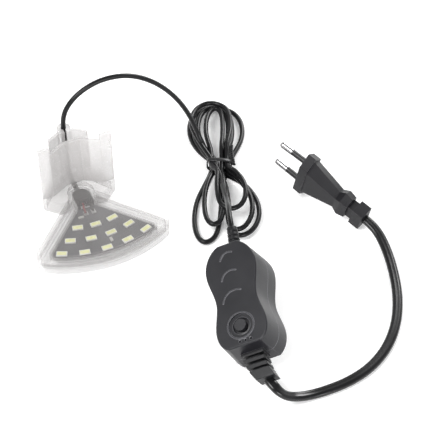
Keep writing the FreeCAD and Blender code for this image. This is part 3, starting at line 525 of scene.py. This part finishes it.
class Finishes:
    """Every material of the lamp, made once and handed out by slot."""

    def __init__(self) -> None:
        """Build the materials."""
        recipes: dict[Slot, Any] = {
            Slot.CLEAR: ClearPlastic("clear_plastic"),
            Slot.BOARD: SolderMask("board_dark", (0.040, 0.040, 0.044), (0.066, 0.066, 0.072)),
            Slot.LED_FRAME: Moulded("led_frame_white", (0.62, 0.62, 0.58), (0.74, 0.74, 0.70), (0.3, 0.45)),
            Slot.PHOSPHOR: Phosphor(),
            Slot.CHIP: Moulded("chip_ceramic", (0.30, 0.29, 0.27), (0.46, 0.45, 0.42), (0.3, 0.4)),
            Slot.SOLDER: Metal("solder", (0.50, 0.50, 0.50), (0.78, 0.78, 0.77), (0.25, 0.45)),
            Slot.CORE_RED: Moulded("core_red", (0.13, 0.008, 0.010), (0.24, 0.016, 0.018), (0.3, 0.42)),
            Slot.CORE_BLACK: Moulded("core_black", INK, SOFT_INK, (0.3, 0.42)),
            Slot.SEALANT: Moulded(
                "sealant", (0.003, 0.003, 0.003), (0.010, 0.009, 0.009), (0.22, 0.5), grain=700.0,
            ),
            Slot.CORD: Moulded("cord_black", INK, SOFT_INK, (0.24, 0.34), specular=0.27),
            Slot.TIE: Moulded("tie_black", INK, (0.020, 0.020, 0.022), (0.25, 0.42), grain=2600.0),
            # case: the edge colour is a painted highlight along its rounded edges
            Slot.CASE: Moulded(
                "case_black", (0.0095, 0.0095, 0.0120), (0.0155, 0.0155, 0.0186), (0.34, 0.44),
                grain=2400.0, grain_strength=0.22, specular=0.34,
                edge=(0.17, 0.17, 0.185), edge_highlight_width=0.8 * MM,
            ),
            Slot.BUTTON: Moulded("button_black", (0.013, 0.013, 0.015), (0.020, 0.020, 0.023), (0.28, 0.38)),
            # relief: the edge colour is a painted highlight along its rounded edges
            Slot.RELIEF: Moulded(
                "relief_black", (0.006, 0.006, 0.007), (0.012, 0.012, 0.014), (0.36, 0.5), specular=0.32,
                edge=(0.045, 0.045, 0.05), edge_highlight_width=0.3 * MM,
            ),
            Slot.LEAD: Moulded("lead_black", INK, (0.008, 0.008, 0.009), (0.20, 0.30), specular=0.42),
            Slot.SWITCH: Moulded("switch_plastic", (0.02, 0.02, 0.02), (0.05, 0.05, 0.05)),
            Slot.DRIVER_BOARD: SolderMask("driver_board_green", (0.012, 0.055, 0.024), (0.025, 0.10, 0.05)),
            Slot.FERRITE: Moulded("ferrite", (0.04, 0.04, 0.04), (0.08, 0.08, 0.08), (0.5, 0.7)),
            Slot.COPPER: Metal("winding_copper", (0.45, 0.20, 0.08), (0.70, 0.36, 0.16)),
            Slot.CAPACITOR: Moulded("capacitor_sleeve", (0.02, 0.03, 0.09), (0.04, 0.06, 0.16), (0.2, 0.3)),
            Slot.SCREW: Metal("screw_steel", (0.42, 0.42, 0.43), (0.66, 0.66, 0.68)),
            # plug: the edge colour is a painted highlight along its rounded edges and ribs
            Slot.PLUG: Moulded(
                "plug_black", (0.0062, 0.0060, 0.0076), (0.0125, 0.0120, 0.0146), (0.36, 0.50), specular=0.27,
                edge=(0.055, 0.055, 0.06), edge_highlight_width=0.4 * MM,
            ),
            Slot.PIN: Metal(
                "pin_metal", (0.34, 0.34, 0.35), (0.50, 0.49, 0.49), (0.18, 0.28),
                brush=(90.0, 90.0, 90.0), relief=0.01,
            ),
            Slot.SLEEVE: Moulded("sleeve_black", INK, SOFT_INK, (0.28, 0.4)),
        }
        self.clip_plastic = ClearPlastic(
            "clear_plastic_clip", face_alpha=0.42, edge_alpha=0.90, power=2.0, rough=(0.12, 0.28),
        ).material()
        # the base's rims get a fainter painted highlight
        self.base_plastic = ClearPlastic(
            "clear_plastic_base", face_alpha=0.24, edge_alpha=0.60, power=2.2, rim_highlight_alpha=0.35,
        ).material()
        self.made = {slot: recipe.material() for slot, recipe in recipes.items()}

    def dress(
        self, piece: bpy.types.Object, slot: Slot, material: Optional[bpy.types.Material] = None
    ) -> bpy.types.Object:
        """Give a piece one slot's material.

        Args:
            piece: The mesh or curve object.
            slot: The record's slot.
            material: Another finish of the same slot, where a piece has its own.

        Returns:
            The same piece.
        """
        if len(piece.material_slots) == 0:
            piece.data.materials.append(None)
        for holder in piece.material_slots:
            holder.link = "OBJECT"
            holder.material = material or self.made[slot]
        return piece


# ---------------------------------------------------------------- mesh helpers


def in_metres(point: Sequence[float]) -> Point:
    """Point given in millimetres, in metres."""
    return tuple(MM * value for value in point)


def select_only(piece: bpy.types.Object) -> None:
    """Leave object mode's selection on one piece."""
    bpy.ops.object.select_all(action="DESELECT")
    piece.select_set(True)
    bpy.context.view_layer.objects.active = piece


def smoothed_copy(node: str) -> bpy.types.Object:
    """Welded and smoothly shaded copy of a CAD node's mesh.

    Args:
        node: The CAD node.

    Returns:
        The new object.
    """
    piece = bpy.data.objects.new(node + "_shell", frame["nodes"][node].data.copy())
    bpy.context.scene.collection.objects.link(piece)
    piece.data.materials.clear()
    select_only(piece)
    bpy.ops.object.mode_set(mode="EDIT")
    bpy.ops.mesh.select_all(action="SELECT")
    bpy.ops.mesh.remove_doubles(threshold=WELD_DISTANCE)
    bpy.ops.object.mode_set(mode="OBJECT")
    bpy.ops.object.shade_smooth_by_angle(angle=COPY_CREASE)
    return piece


def soften(piece: bpy.types.Object, width: float) -> bpy.types.Object:
    """Round a piece's sharp edges with an applied Bevel modifier, and keep its flat faces flat.

    Args:
        piece: The mesh object.
        width: The bevel's width in metres.

    Returns:
        The same piece.
    """
    select_only(piece)
    bevel = piece.modifiers.new("soft edges", "BEVEL")
    bevel.width = width
    bevel.segments = 2
    bevel.limit_method = "ANGLE"
    bevel.angle_limit = BEVEL_FROM
    bpy.ops.object.modifier_apply(modifier=bevel.name)
    bpy.ops.object.shade_smooth_by_angle(angle=SOFT_CREASE)
    weighted = piece.modifiers.new("flat faces", "WEIGHTED_NORMAL")
    weighted.keep_sharp = True
    weighted.weight = 100
    bpy.ops.object.modifier_apply(modifier=weighted.name)
    return piece


def nurbs_curve(name: str, points: Sequence[Point], radius: float) -> bpy.types.Object:
    """Open NURBS curve whose control points are a cord's route.

    Args:
        name: The object's name.
        points: Control points in metres.
        radius: The round section's radius; 0 leaves a bare line.

    Returns:
        The curve object.
    """
    data = bpy.data.curves.new(name, "CURVE")
    data.dimensions = "3D"
    spline = data.splines.new("NURBS")
    spline.points.add(len(points) - 1)
    for target, point in zip(spline.points, points):
        target.co = (*point, 1.0)
    spline.order_u = 3
    spline.use_endpoint_u = True
    data.resolution_u = 8
    data.bevel_depth = radius
    data.bevel_resolution = 4
    data.use_fill_caps = radius > 0
    piece = bpy.data.objects.new(name, data)
    bpy.context.scene.collection.objects.link(piece)
    return piece


def line_points(points: Sequence[Point]) -> list[Vector]:
    """Points along the NURBS line of a route, as Blender gives them.

    Args:
        points: Control points in metres.

    Returns:
        The line's points in order.
    """
    bare = nurbs_curve("route", points, 0.0)
    bpy.context.view_layer.update()
    mesh = bpy.data.meshes.new_from_object(bare)
    found = [vertex.co.copy() for vertex in mesh.vertices]
    bpy.data.meshes.remove(mesh)
    bpy.data.objects.remove(bare)
    return found


def sweep(name: str, path: Sequence[Vector], section: Sequence[tuple[float, float]],
          side_at: Callable[[Vector], Vector]) -> bpy.types.Object:
    """Closed tube of a given section along a path.

    Args:
        name: The object's name.
        path: Ring centres.
        section: Outline as (sideways, down) offsets.
        side_at: Sideways direction for a ring's tangent.

    Returns:
        The mesh object.
    """
    count = len(section)
    verts: list[Vector] = []
    for k, centre in enumerate(path):
        tangent = (path[min(k + 1, len(path) - 1)] - path[max(k - 1, 0)]).normalized()
        side = side_at(tangent)
        side = (side - tangent * side.dot(tangent)).normalized()
        rise = tangent.cross(side)
        verts += [centre + side * sideways - rise * down for sideways, down in section]
    faces = []
    for k in range(len(path) - 1):
        ring, beyond = k * count, (k + 1) * count
        for j in range(count):
            after = (j + 1) % count
            faces.append((ring + j, ring + after, beyond + after, beyond + j))
    faces.append(tuple(reversed(range(count))))
    faces.append(tuple(range(len(verts) - count, len(verts))))
    mesh = bpy.data.meshes.new(name)
    mesh.from_pydata(verts, [], faces)
    piece = bpy.data.objects.new(name, mesh)
    bpy.context.scene.collection.objects.link(piece)
    select_only(piece)
    bpy.ops.object.mode_set(mode="EDIT")
    bpy.ops.mesh.select_all(action="SELECT")
    bpy.ops.mesh.normals_make_consistent(inside=False)
    bpy.ops.object.mode_set(mode="OBJECT")
    bpy.ops.object.shade_smooth_by_angle(angle=TUBE_CREASE)
    return piece


def settle(piece: bpy.types.Object, body: Body, *nodes: str) -> bpy.types.Object:
    """Let a piece ride on a body and stand for CAD nodes.

    Args:
        piece: The piece.
        body: The body that it moves with.
        nodes: The CAD nodes that it is shown for.

    Returns:
        The same piece.
    """
    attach(piece, body.value)
    if nodes:
        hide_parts(*nodes)
    LOG.info("made %s", piece.name)
    return piece


# ---------------------------------------------------------------- low-voltage cord

CORD_ON_FLOOR = 1.5


@dataclass(frozen=True)
class Lobe:
    """One loop of the hank on one side of the tie, in millimetres.

    Each station of a side is a share of the side's width, of the drift and of the tip's droop.
    """

    reach: float
    left: float
    right: float
    drift: float

    side_stations: ClassVar[tuple[Point, ...]] = (
        (0.62, 0.0, 0.0), (0.97, 0.0, 0.0), (1.0, 0.10, 0.5), (0.72, 0.35, 1.0),
    )
    left_shares: ClassVar[tuple[float, ...]] = (0.24, 0.48, 0.74, 0.95)
    right_shares: ClassVar[tuple[float, ...]] = (0.25, 0.50, 0.76, 0.97)
    tip_share: ClassVar[float] = 1.05
    tip_width: ClassVar[float] = 0.2
    tip_drift: ClassVar[float] = 0.75
    droop: ClassVar[float] = 0.15

    def points(self, way: int, level: float) -> list[Point]:
        """Control points from the left side round the tip to the right side.

        Args:
            way: 1 for the upper lobe, -1 for the lower lobe.
            level: Height of the loop's sides over the floor; its tip droops.

        Returns:
            Points along the hank's own axes.
        """
        fall = (level - CORD_ON_FLOOR) * self.droop

        def side(width: float, shares: Sequence[float]) -> list[Point]:
            """Stations of one side, from the tie outwards."""
            return [
                (way * share * self.reach, wide * width + bend * self.drift, level - low * fall)
                for share, (wide, bend, low) in zip(shares, self.side_stations)
            ]

        across = self.tip_width * (self.left + self.right) + self.tip_drift * self.drift
        tip = (way * self.tip_share * self.reach, across, level - fall)
        return [*side(self.left, self.left_shares), tip, *reversed(side(self.right, self.right_shares))]


@dataclass
class SupplyCord:
    """Round low-voltage cord: arc off the clip, tied hank, and the run to the controller."""

    diameter: float = 3.0 * MM
    arc: tuple[Point, ...] = (
        (0.0, 37.8, 40.0), (0.0, 37.8, 47.5), (4.6, 38.4, 56.5), (14.0, 39.6, 63.2), (27.5, 40.6, 66.5),
        (43.5, 40.4, 64.3), (58.0, 38.6, 55.5), (69.5, 35.8, 42.5), (77.5, 33.0, 27.0), (81.5, 28.0, 12.0),
        (83.0, 19.0, 5.0),
    )
    tail: tuple[Point, ...] = (
        (83.5, -0.5, 7.0), (79.4, -12.5, 9.5), (75.4, -25.5, 15.5), (71.6, -38.5, 24.0), (67.4, -51.0, 31.2),
        (63.74, -61.92, 32.97), (62.38, -67.6, 31.62),
    )
    tie: tuple[float, float] = (86.0, 7.0)
    heading: float = 66.0
    lower: tuple[Lobe, ...] = (
        Lobe(59.0, 13.4, -2.0, 6.5),
        Lobe(55.0, -6.0, -24.0, -9.0),
        Lobe(52.0, -5.0, -20.0, -8.0),
        Lobe(50.0, 8.0, -4.0, 2.0),
        Lobe(39.0, 1.0, -16.0, -6.0),
    )
    upper: tuple[Lobe, ...] = (
        Lobe(53.5, 19.2, -14.0, 7.0),
        Lobe(51.5, 16.6, -7.6, 6.5),
        Lobe(49.5, 13.8, -5.0, 5.0),
        Lobe(47.0, 9.0, -1.5, 3.0),
        Lobe(50.0, 17.9, -6.6, 6.0),
    )
    level_step: float = 2.1
    waist_half_length: float = 4.0
    waist_columns: tuple[float, ...] = (4.7, 1.6)
    waist_rows: tuple[float, ...] = (1.6, 4.4, 7.2)
    length: float = 1.40

    def to_frame(self, along: float, across: float, height: float) -> Point:
        """Turn a point of the hank's own axes into the lamp's frame, in millimetres.

        Args:
            along: Distance from the tie, towards the upper lobes.
            across: Distance to the left of the hank's middle line.
            height: Height over the floor.

        Returns:
            The point in the lamp's frame.
        """
        angle = math.radians(self.heading)
        x = self.tie[0] + along * math.cos(angle) - across * math.sin(angle)
        y = self.tie[1] + along * math.sin(angle) + across * math.cos(angle)
        return x, y, height

    def waist(self, turn: int, side: int) -> list[Point]:
        """Two points of a run under the tie.

        Args:
            turn: The turn's number, from 0.
            side: 1 for the left bundle and -1 for the right one.

        Returns:
            The run's points, from the upper side of the tie to the lower side.
        """
        row, column = divmod(turn, len(self.waist_columns))
        across, height = side * self.waist_columns[column], self.waist_rows[row]
        return [(self.waist_half_length, across, height), (-self.waist_half_length, across, height)]

    def hank_points(self) -> list[Point]:
        """Control points of all turns, down the left bundle and up the right one.

        Returns:
            Points in the lamp's frame; the last lobe ends short of the tie, where the tail takes over.
        """
        run: list[Point] = []
        for turn, (low, high) in enumerate(zip(self.lower, self.upper)):
            level = CORD_ON_FLOOR + turn * self.level_step
            run += self.waist(turn, 1)
            run += low.points(-1, level)
            run += reversed(self.waist(turn, -1))
            run += reversed(high.points(1, level))
        return [self.to_frame(*point) for point in run[:-1]]

    def exit(self) -> Point:
        """Point where the cord leaves the clip's channel, in metres."""
        return in_metres(self.arc[0])

    def build(self, finishes: Finishes) -> bpy.types.Object:
        """Make the cord as one spline.

        Args:
            finishes: The lamp's materials.

        Returns:
            The cord.
        """
        route = [*self.arc, *self.hank_points(), *self.tail]
        cord = nurbs_curve("supply_cord", [in_metres(point) for point in route], self.diameter / 2)
        finishes.dress(cord, Slot.CORD)
        return settle(cord, Body.LAMP, "dc_cord", "dc_cord_hank", "dc_cord_tail")


# ---------------------------------------------------------------- hank tie


def squared(value: float, power: float = 0.55) -> float:
    """Push a sine or cosine outwards, so that a loop has flat sides and round corners."""
    return math.copysign(abs(value) ** power, value)


@dataclass
class HankTie:
    """Twist tie: a ribbed band round the hank's waist and its two ends twisted together.

    Routes are millimetres along the hank's own axes.
    """

    cord: SupplyCord
    band_width: float = 2.6 * MM
    band_thickness: float = 0.7 * MM
    band_steps: int = 64
    half_width: float = 7.4
    top: float = 9.6
    bottom: float = 0.5
    lean: float = 0.08
    wander: float = 0.25
    wobble: float = 0.12
    tail_start: Point = (-1.5, -8.6, 7.2)
    tail_end: Point = (14.0, -7.6, 7.2)
    tail_bow: float = 1.2
    tail_bow_turn: float = 2.6
    tail_radius: float = 1.1
    tail_turns: float = 4.5
    tail_steps: int = 90
    strand: float = 0.85 * MM
    strand_shape: tuple[float, float] = (1.1, 0.62)
    strand_sides: int = 10

    def band_section(self) -> list[tuple[float, float]]:
        """Flat section with rounded corners and a raised rib, over its wire, on one side."""
        half_w, half_t = self.band_width / 2, self.band_thickness / 2
        outline = (
            (-1.0, -0.4), (-0.8, -1.0), (0.8, -1.0), (1.0, -0.4), (1.0, 0.4), (0.8, 1.0),
            (0.25, 0.8), (0.0, 1.5), (-0.25, 0.8), (-0.8, 1.0), (-1.0, 0.4),
        )
        return [(across * half_w, out * half_t) for across, out in outline]

    def band(self) -> bpy.types.Object:
        """Make the band round the waist: a rounded loop a little askew.

        Returns:
            The band's mesh object.
        """
        path = []
        middle, half_height = (self.top + self.bottom) / 2, (self.top - self.bottom) / 2
        for k in range(self.band_steps + 1):
            angle = 2 * math.pi * k / self.band_steps
            across = self.half_width * squared(math.cos(angle))
            along = self.wander * math.sin(3 * angle) + self.lean * across
            height = middle + half_height * squared(math.sin(angle)) + self.wobble * math.sin(5 * angle)
            path.append(Vector(in_metres(self.cord.to_frame(along, across, height))))
        heading = math.radians(self.cord.heading)
        lengthways = Vector((math.cos(heading), math.sin(heading), 0.0))
        return sweep("tie_band", path, self.band_section(), lambda tangent: lengthways)

    def twisted_end(self, phase: float) -> bpy.types.Object:
        """Make one strand of the twisted ends.

        Args:
            phase: Where the strand starts round the twist, in radians.

        Returns:
            The strand's mesh object.
        """
        path = []
        heading = math.radians(self.cord.heading)
        across = Vector((-math.sin(heading), math.cos(heading), 0.0))
        for k in range(self.tail_steps + 1):
            share = k / self.tail_steps
            angle = 2 * math.pi * self.tail_turns * share + phase
            radius = self.tail_radius * (0.7 + 0.3 * math.sin(math.pi * share)) * MM
            base = Vector(self.tail_start).lerp(Vector(self.tail_end), share)
            bow = self.tail_bow * math.sin(self.tail_bow_turn * share)
            middle = Vector(in_metres(self.cord.to_frame(base.x, base.y + bow, base.z)))
            path.append(middle + radius * (across * math.cos(angle) + UP * math.sin(angle)))
        wide, thick = (self.strand * share for share in self.strand_shape)
        corners = [2 * math.pi * j / self.strand_sides for j in range(self.strand_sides)]
        section = [(wide * math.cos(corner), thick * math.sin(corner)) for corner in corners]
        return sweep("tie_strand", path, section, lambda tangent: UP)

    def build(self, finishes: Finishes) -> bpy.types.Object:
        """Make the tie from its band and two strands.

        Args:
            finishes: The lamp's materials.

        Returns:
            The tie.
        """
        band = self.band()
        strands = [self.twisted_end(0.0), self.twisted_end(math.pi)]
        select_only(band)
        for strand in strands:
            strand.select_set(True)
        bpy.ops.object.join()
        band.name = "twist_tie"
        finishes.dress(band, Slot.TIE)
        return settle(band, Body.LAMP, "hank_tie")


# ---------------------------------------------------------------- mains lead


@dataclass
class MainsLead:
    """Flat two-core lead from the controller to the plug."""

    width: float = 5.7 * MM
    thickness: float = 3.5 * MM
    groove_depth: float = 0.16
    groove_width: float = 0.16
    outline_steps: int = 32
    route: tuple[Point, ...] = (
        (44.69, -158.52, 12.31), (45.63, -162.97, 12.36), (46.9, -166.0, 10.9), (50.3, -168.0, 7.2),
        (55.8, -168.6, 3.8), (64.5, -169.2, 1.8), (75.5, -169.8, 1.8), (88.5, -168.9, 1.8),
        (103.0, -164.8, 1.8), (117.0, -156.0, 1.8), (129.0, -143.0, 1.8), (138.5, -126.5, 1.8),
        (145.0, -108.5, 1.8), (149.0, -91.0, 2.8), (149.28, -76.28, 5.32), (145.6, -69.44, 7.24),
    )
    length: float = 0.180

    def section(self) -> list[tuple[float, float]]:
        """Outline a flat oval with a shallow groove along the middle of each broad side.

        Returns:
            The outline's points as (sideways, down) offsets.
        """
        outline = []
        for k in range(self.outline_steps):
            angle = 2 * math.pi * k / self.outline_steps
            side = squared(math.cos(angle), 0.8)
            dip = 1.0 - self.groove_depth * math.exp(-((side / self.groove_width) ** 2))
            rise = squared(math.sin(angle), 0.75)
            outline.append((side * self.width / 2, rise * dip * self.thickness / 2))
        return outline

    def build(self, finishes: Finishes) -> tuple[bpy.types.Object, list[Vector]]:
        """Make the lead along its route's own line.

        Args:
            finishes: The lamp's materials.

        Returns:
            The lead and the points that it follows.
        """
        path = line_points([in_metres(point) for point in self.route])
        lead = sweep("mains_lead_flat", path, self.section(), UP.cross)
        finishes.dress(lead, Slot.LEAD)
        settle(lead, Body.LAMP, "mains_lead")
        return lead, path


# ---------------------------------------------------------------- lamp, controller, plug


@dataclass
class Lamp:
    """Head and clip: clear shells over the LED board."""

    clear_nodes: tuple[str, ...] = ("head_base", "head_cover", "clip_base", "clip_front_jaw", "clip_rear_jaw")
    clear_edge: float = 0.25 * MM

    def build(self, finishes: Finishes) -> None:
        """Make the clear shells and dress the pieces inside.

        Args:
            finishes: The lamp's materials.
        """
        own = {
            "clip_front_jaw": finishes.clip_plastic, "clip_rear_jaw": finishes.clip_plastic,
            "clip_base": finishes.base_plastic,
        }
        for node in self.clear_nodes:
            piece = soften(smoothed_copy(node), self.clear_edge)
            finishes.dress(piece, Slot.CLEAR, own.get(node))
            settle(piece, Body.LAMP, node)
        inside = {
            "led_board": Slot.BOARD, "led_packages": Slot.LED_FRAME, "led_phosphors": Slot.PHOSPHOR,
            "board_resistors": Slot.CHIP, "solder_pads": Slot.SOLDER, "core_red": Slot.CORE_RED,
            "core_black": Slot.CORE_BLACK, "neck_sealant": Slot.SEALANT, "cord_in_clip": Slot.CORD,
        }
        for node, slot in inside.items():
            finishes.dress(frame["nodes"][node], slot)


@dataclass
class Controller:
    """In-line controller: case halves, button, reliefs and what is inside."""

    fine_edge: float = 0.2 * MM
    full_edge: float = 0.3 * MM

    def build(self, finishes: Finishes) -> dict[str, bpy.types.Object]:
        """Make the controller's visible shells and dress its inner pieces.

        Args:
            finishes: The lamp's materials.

        Returns:
            The shells by CAD node.
        """
        made = {}
        shells = {
            "controller_base": (Slot.CASE, self.fine_edge, Body.LAMP),
            "controller_top": (Slot.CASE, self.fine_edge, Body.LAMP),
            "push_button": (Slot.BUTTON, self.full_edge, Body.BUTTON),
            "dc_strain_relief": (Slot.RELIEF, self.fine_edge, Body.LAMP),
            "mains_strain_relief": (Slot.RELIEF, self.full_edge, Body.LAMP),
        }
        for node, (slot, edge, body) in shells.items():
            piece = soften(smoothed_copy(node), edge)
            finishes.dress(piece, slot)
            made[node] = settle(piece, body, node)
        inside = {
            "switch_body": Slot.SWITCH, "driver_board": Slot.DRIVER_BOARD, "transformer_core": Slot.FERRITE,
            "transformer_winding": Slot.COPPER, "filter_capacitor": Slot.CAPACITOR, "case_screws": Slot.SCREW,
        }
        for node, slot in inside.items():
            finishes.dress(frame["nodes"][node], slot)
        return made


@dataclass
class Plug:
    """Two-pin plug: moulded body, pins and their sleeves."""

    body_edge: float = 0.5 * MM
    pin_radius: float = 2.0 * MM
    pin_back: float = 3.45 * MM
    pin_front: float = 5.5 * MM
    pin_sides: int = 40
    tip_round: float = 0.96
    tip_segments: int = 8
    shank_radius: float = 1.5 * MM
    shank_length: float = 20.0 * MM

    def pin(self, mount: str) -> bpy.types.Object:
        """Metal pin: turned bare end with a rounded tip, and a thinner shank inside its sleeve.

        Args:
            mount: The record's mount at the middle of the pin's bare end.

        Returns:
            The pin.
        """
        facts = next(entry for entry in frame["record"]["mounts"] if entry["name"] == mount)
        length, middle = self.pin_back + self.pin_front, (self.pin_front - self.pin_back) / 2
        bpy.ops.object.select_all(action="DESELECT")
        bpy.ops.mesh.primitive_cylinder_add(
            vertices=self.pin_sides, radius=self.pin_radius, depth=length, location=(0.0, 0.0, middle)
        )
        piece = bpy.context.object
        piece.name = mount + "_turned"
        bpy.ops.object.transform_apply(location=True, rotation=True, scale=True)
        self.pick_rim(piece, self.pin_front)
        bpy.ops.mesh.bevel(
            offset=self.pin_radius * self.tip_round, segments=self.tip_segments, profile=0.5, affect="EDGES"
        )
        bpy.ops.object.mode_set(mode="OBJECT")
        self.pick_rim(piece, -self.pin_back)
        bpy.ops.mesh.edge_face_add()
        bpy.ops.mesh.inset(thickness=self.pin_radius - self.shank_radius)
        bpy.ops.mesh.extrude_region_move(TRANSFORM_OT_translate={"value": (0.0, 0.0, -self.shank_length)})
        bpy.ops.mesh.select_all(action="SELECT")
        bpy.ops.mesh.normals_make_consistent(inside=False)
        bpy.ops.object.mode_set(mode="OBJECT")
        turn = Vector(facts["axis"]).to_track_quat("Z", "Y").to_matrix().to_4x4()
        piece.data.transform(Matrix.Translation(Vector(facts["pos_m"])) @ turn)
        bpy.ops.object.shade_smooth_by_angle(angle=SOFT_CREASE)
        return piece

    @staticmethod
    def pick_rim(piece: bpy.types.Object, height: float) -> None:
        """Select the ring of edges at one height of an upright piece, and stay in edit mode.

        Args:
            piece: The mesh object, its axis along Z.
            height: The ring's height in metres.
        """
        select_only(piece)
        bpy.ops.object.mode_set(mode="EDIT")
        bpy.ops.mesh.select_mode(type="EDGE")
        bpy.ops.mesh.select_all(action="DESELECT")
        bpy.ops.object.mode_set(mode="OBJECT")
        for edge in piece.data.edges:
            ends = (piece.data.vertices[number].co for number in edge.vertices)
            edge.select = all(abs(end.z - height) < WELD_DISTANCE / 2 for end in ends)
        bpy.ops.object.mode_set(mode="EDIT")

    def build(self, finishes: Finishes) -> list[bpy.types.Object]:
        """Make the plug's pieces.

        Args:
            finishes: The lamp's materials.

        Returns:
            The body, the pins and their sleeves.
        """
        body = soften(smoothed_copy("plug_body"), self.body_edge)
        made = [settle(finishes.dress(body, Slot.PLUG), Body.LAMP, "plug_body")]
        for side in ("upper", "lower"):
            pin = finishes.dress(self.pin("plug_pin_" + side), Slot.PIN)
            made.append(settle(pin, Body.LAMP, "plug_pin_" + side))
            sleeve = finishes.dress(smoothed_copy("pin_sleeve_" + side), Slot.SLEEVE)
            made.append(settle(sleeve, Body.LAMP, "pin_sleeve_" + side))
        return made


# ---------------------------------------------------------------- stage


@dataclass(frozen=True)
class SoftLight:
    """One square area light: its place in metres, its side in metres and its power in watts."""

    name: str
    place: Point
    size: float
    power: float

    def build(self, aim: Point) -> None:
        """Hang the light.

        Args:
            aim: The point that it faces.
        """
        data = bpy.data.lights.new(self.name, "AREA")
        data.size = self.size
        data.energy = self.power
        light = bpy.data.objects.new(self.name, data)
        light.location = self.place
        light.rotation_mode = "QUATERNION"
        light.rotation_quaternion = (Vector(self.place) - Vector(aim)).to_track_quat("Z", "Y")
        bpy.context.scene.collection.objects.link(light)


@dataclass
class Stage:
    """Floor, soft lights and the camera; the camera's places are millimetres."""

    look_at: Point = (71.3, -35.3, 0.0)
    camera_place: Point = (-161.2, -588.3, 632.1)
    lens: float = 119.4
    sensor_width: float = 36.0
    clip_range: tuple[float, float] = (0.05, 20.0)
    floor_size: float = 6.0
    floor_drop: float = 0.2 * MM
    floor_dark: Colour = (0.90, 0.90, 0.90)
    floor_light: Colour = (0.93, 0.93, 0.93)
    floor_glow: float = 0.22
    horizon: float = 0.95
    zenith: float = 0.30
    middle: Point = (0.07, -0.05, 0.0)
    lights: tuple[SoftLight, ...] = (
        SoftLight("key", (-0.55, -0.15, 0.95), 0.55, 10.0),
        SoftLight("rim", (0.75, 0.55, 0.60), 0.45, 7.0),
        SoftLight("front", (0.10, -1.00, 0.45), 0.45, 5.0),
    )

    def floor(self) -> None:
        """Plain pale floor, a little below the lamp."""
        bpy.ops.mesh.primitive_plane_add(size=self.floor_size, location=(0.0, 0.0, -self.floor_drop))
        plane = bpy.context.object
        plane.name = "floor"
        graph = Graph("floor")
        grain = graph.noise(graph.coordinates(), 30.0, 2.0)
        shader = graph.principled({
            "Base Color": graph.ramp(grain, ((0.3, self.floor_dark), (0.7, self.floor_light))),
            "Roughness": 0.85,
            "Specular IOR Level": 0.1,
            "Emission Color": WHITE,
            "Emission Strength": self.floor_glow,
        })
        plane.data.materials.append(graph.finish(shader))

    def camera(self) -> None:
        """Camera at its viewing angle."""
        data = bpy.data.cameras.new("camera")
        data.lens = self.lens
        data.sensor_width = self.sensor_width
        data.clip_start, data.clip_end = self.clip_range
        camera = bpy.data.objects.new("camera", data)
        camera.location = in_metres(self.camera_place)
        camera.rotation_mode = "QUATERNION"
        back = Vector(self.camera_place) - Vector(self.look_at)
        camera.rotation_quaternion = back.to_track_quat("Z", "Y")
        bpy.context.scene.collection.objects.link(camera)
        bpy.context.scene.camera = camera

    def sky(self) -> None:
        """Soft white surroundings, brighter near the horizon than overhead."""
        graph = Graph("studio", in_world=True)
        place = graph.node("ShaderNodeTexCoord", {}, {})
        parts = graph.node("ShaderNodeSeparateXYZ", {}, {"Vector": place.outputs["Generated"]})
        height = Signal(graph, parts.outputs["Z"])
        strength = graph.spread(height, self.horizon, self.zenith, 0.25, 0.75)
        light = graph.node("ShaderNodeBackground", {}, {"Color": WHITE, "Strength": strength})
        graph.node("ShaderNodeOutputWorld", {}, {"Surface": light.outputs[0]})
        bpy.context.scene.world = graph.owner

    def build(self) -> None:
        """Make the stage."""
        self.camera()
        self.floor()
        self.sky()
        for light in self.lights:
            light.build(self.middle)
        bpy.context.scene.view_settings.view_transform = "Standard"


# ---------------------------------------------------------------- whole lamp


def main() -> None:
    """Build the stage, the cords and every piece in order."""
    logging.basicConfig(level=logging.INFO, format="%(message)s")
    Stage().build()
    finishes = Finishes()
    supply = SupplyCord()
    cord = supply.build(finishes)
    tie = HankTie(supply).build(finishes)
    mains = MainsLead()
    lead, path = mains.build(finishes)
    Lamp().build(finishes)
    controller = Controller().build(finishes)
    plug = Plug().build(finishes)
    supply.exit()


if __name__ == "__main__":
    main()
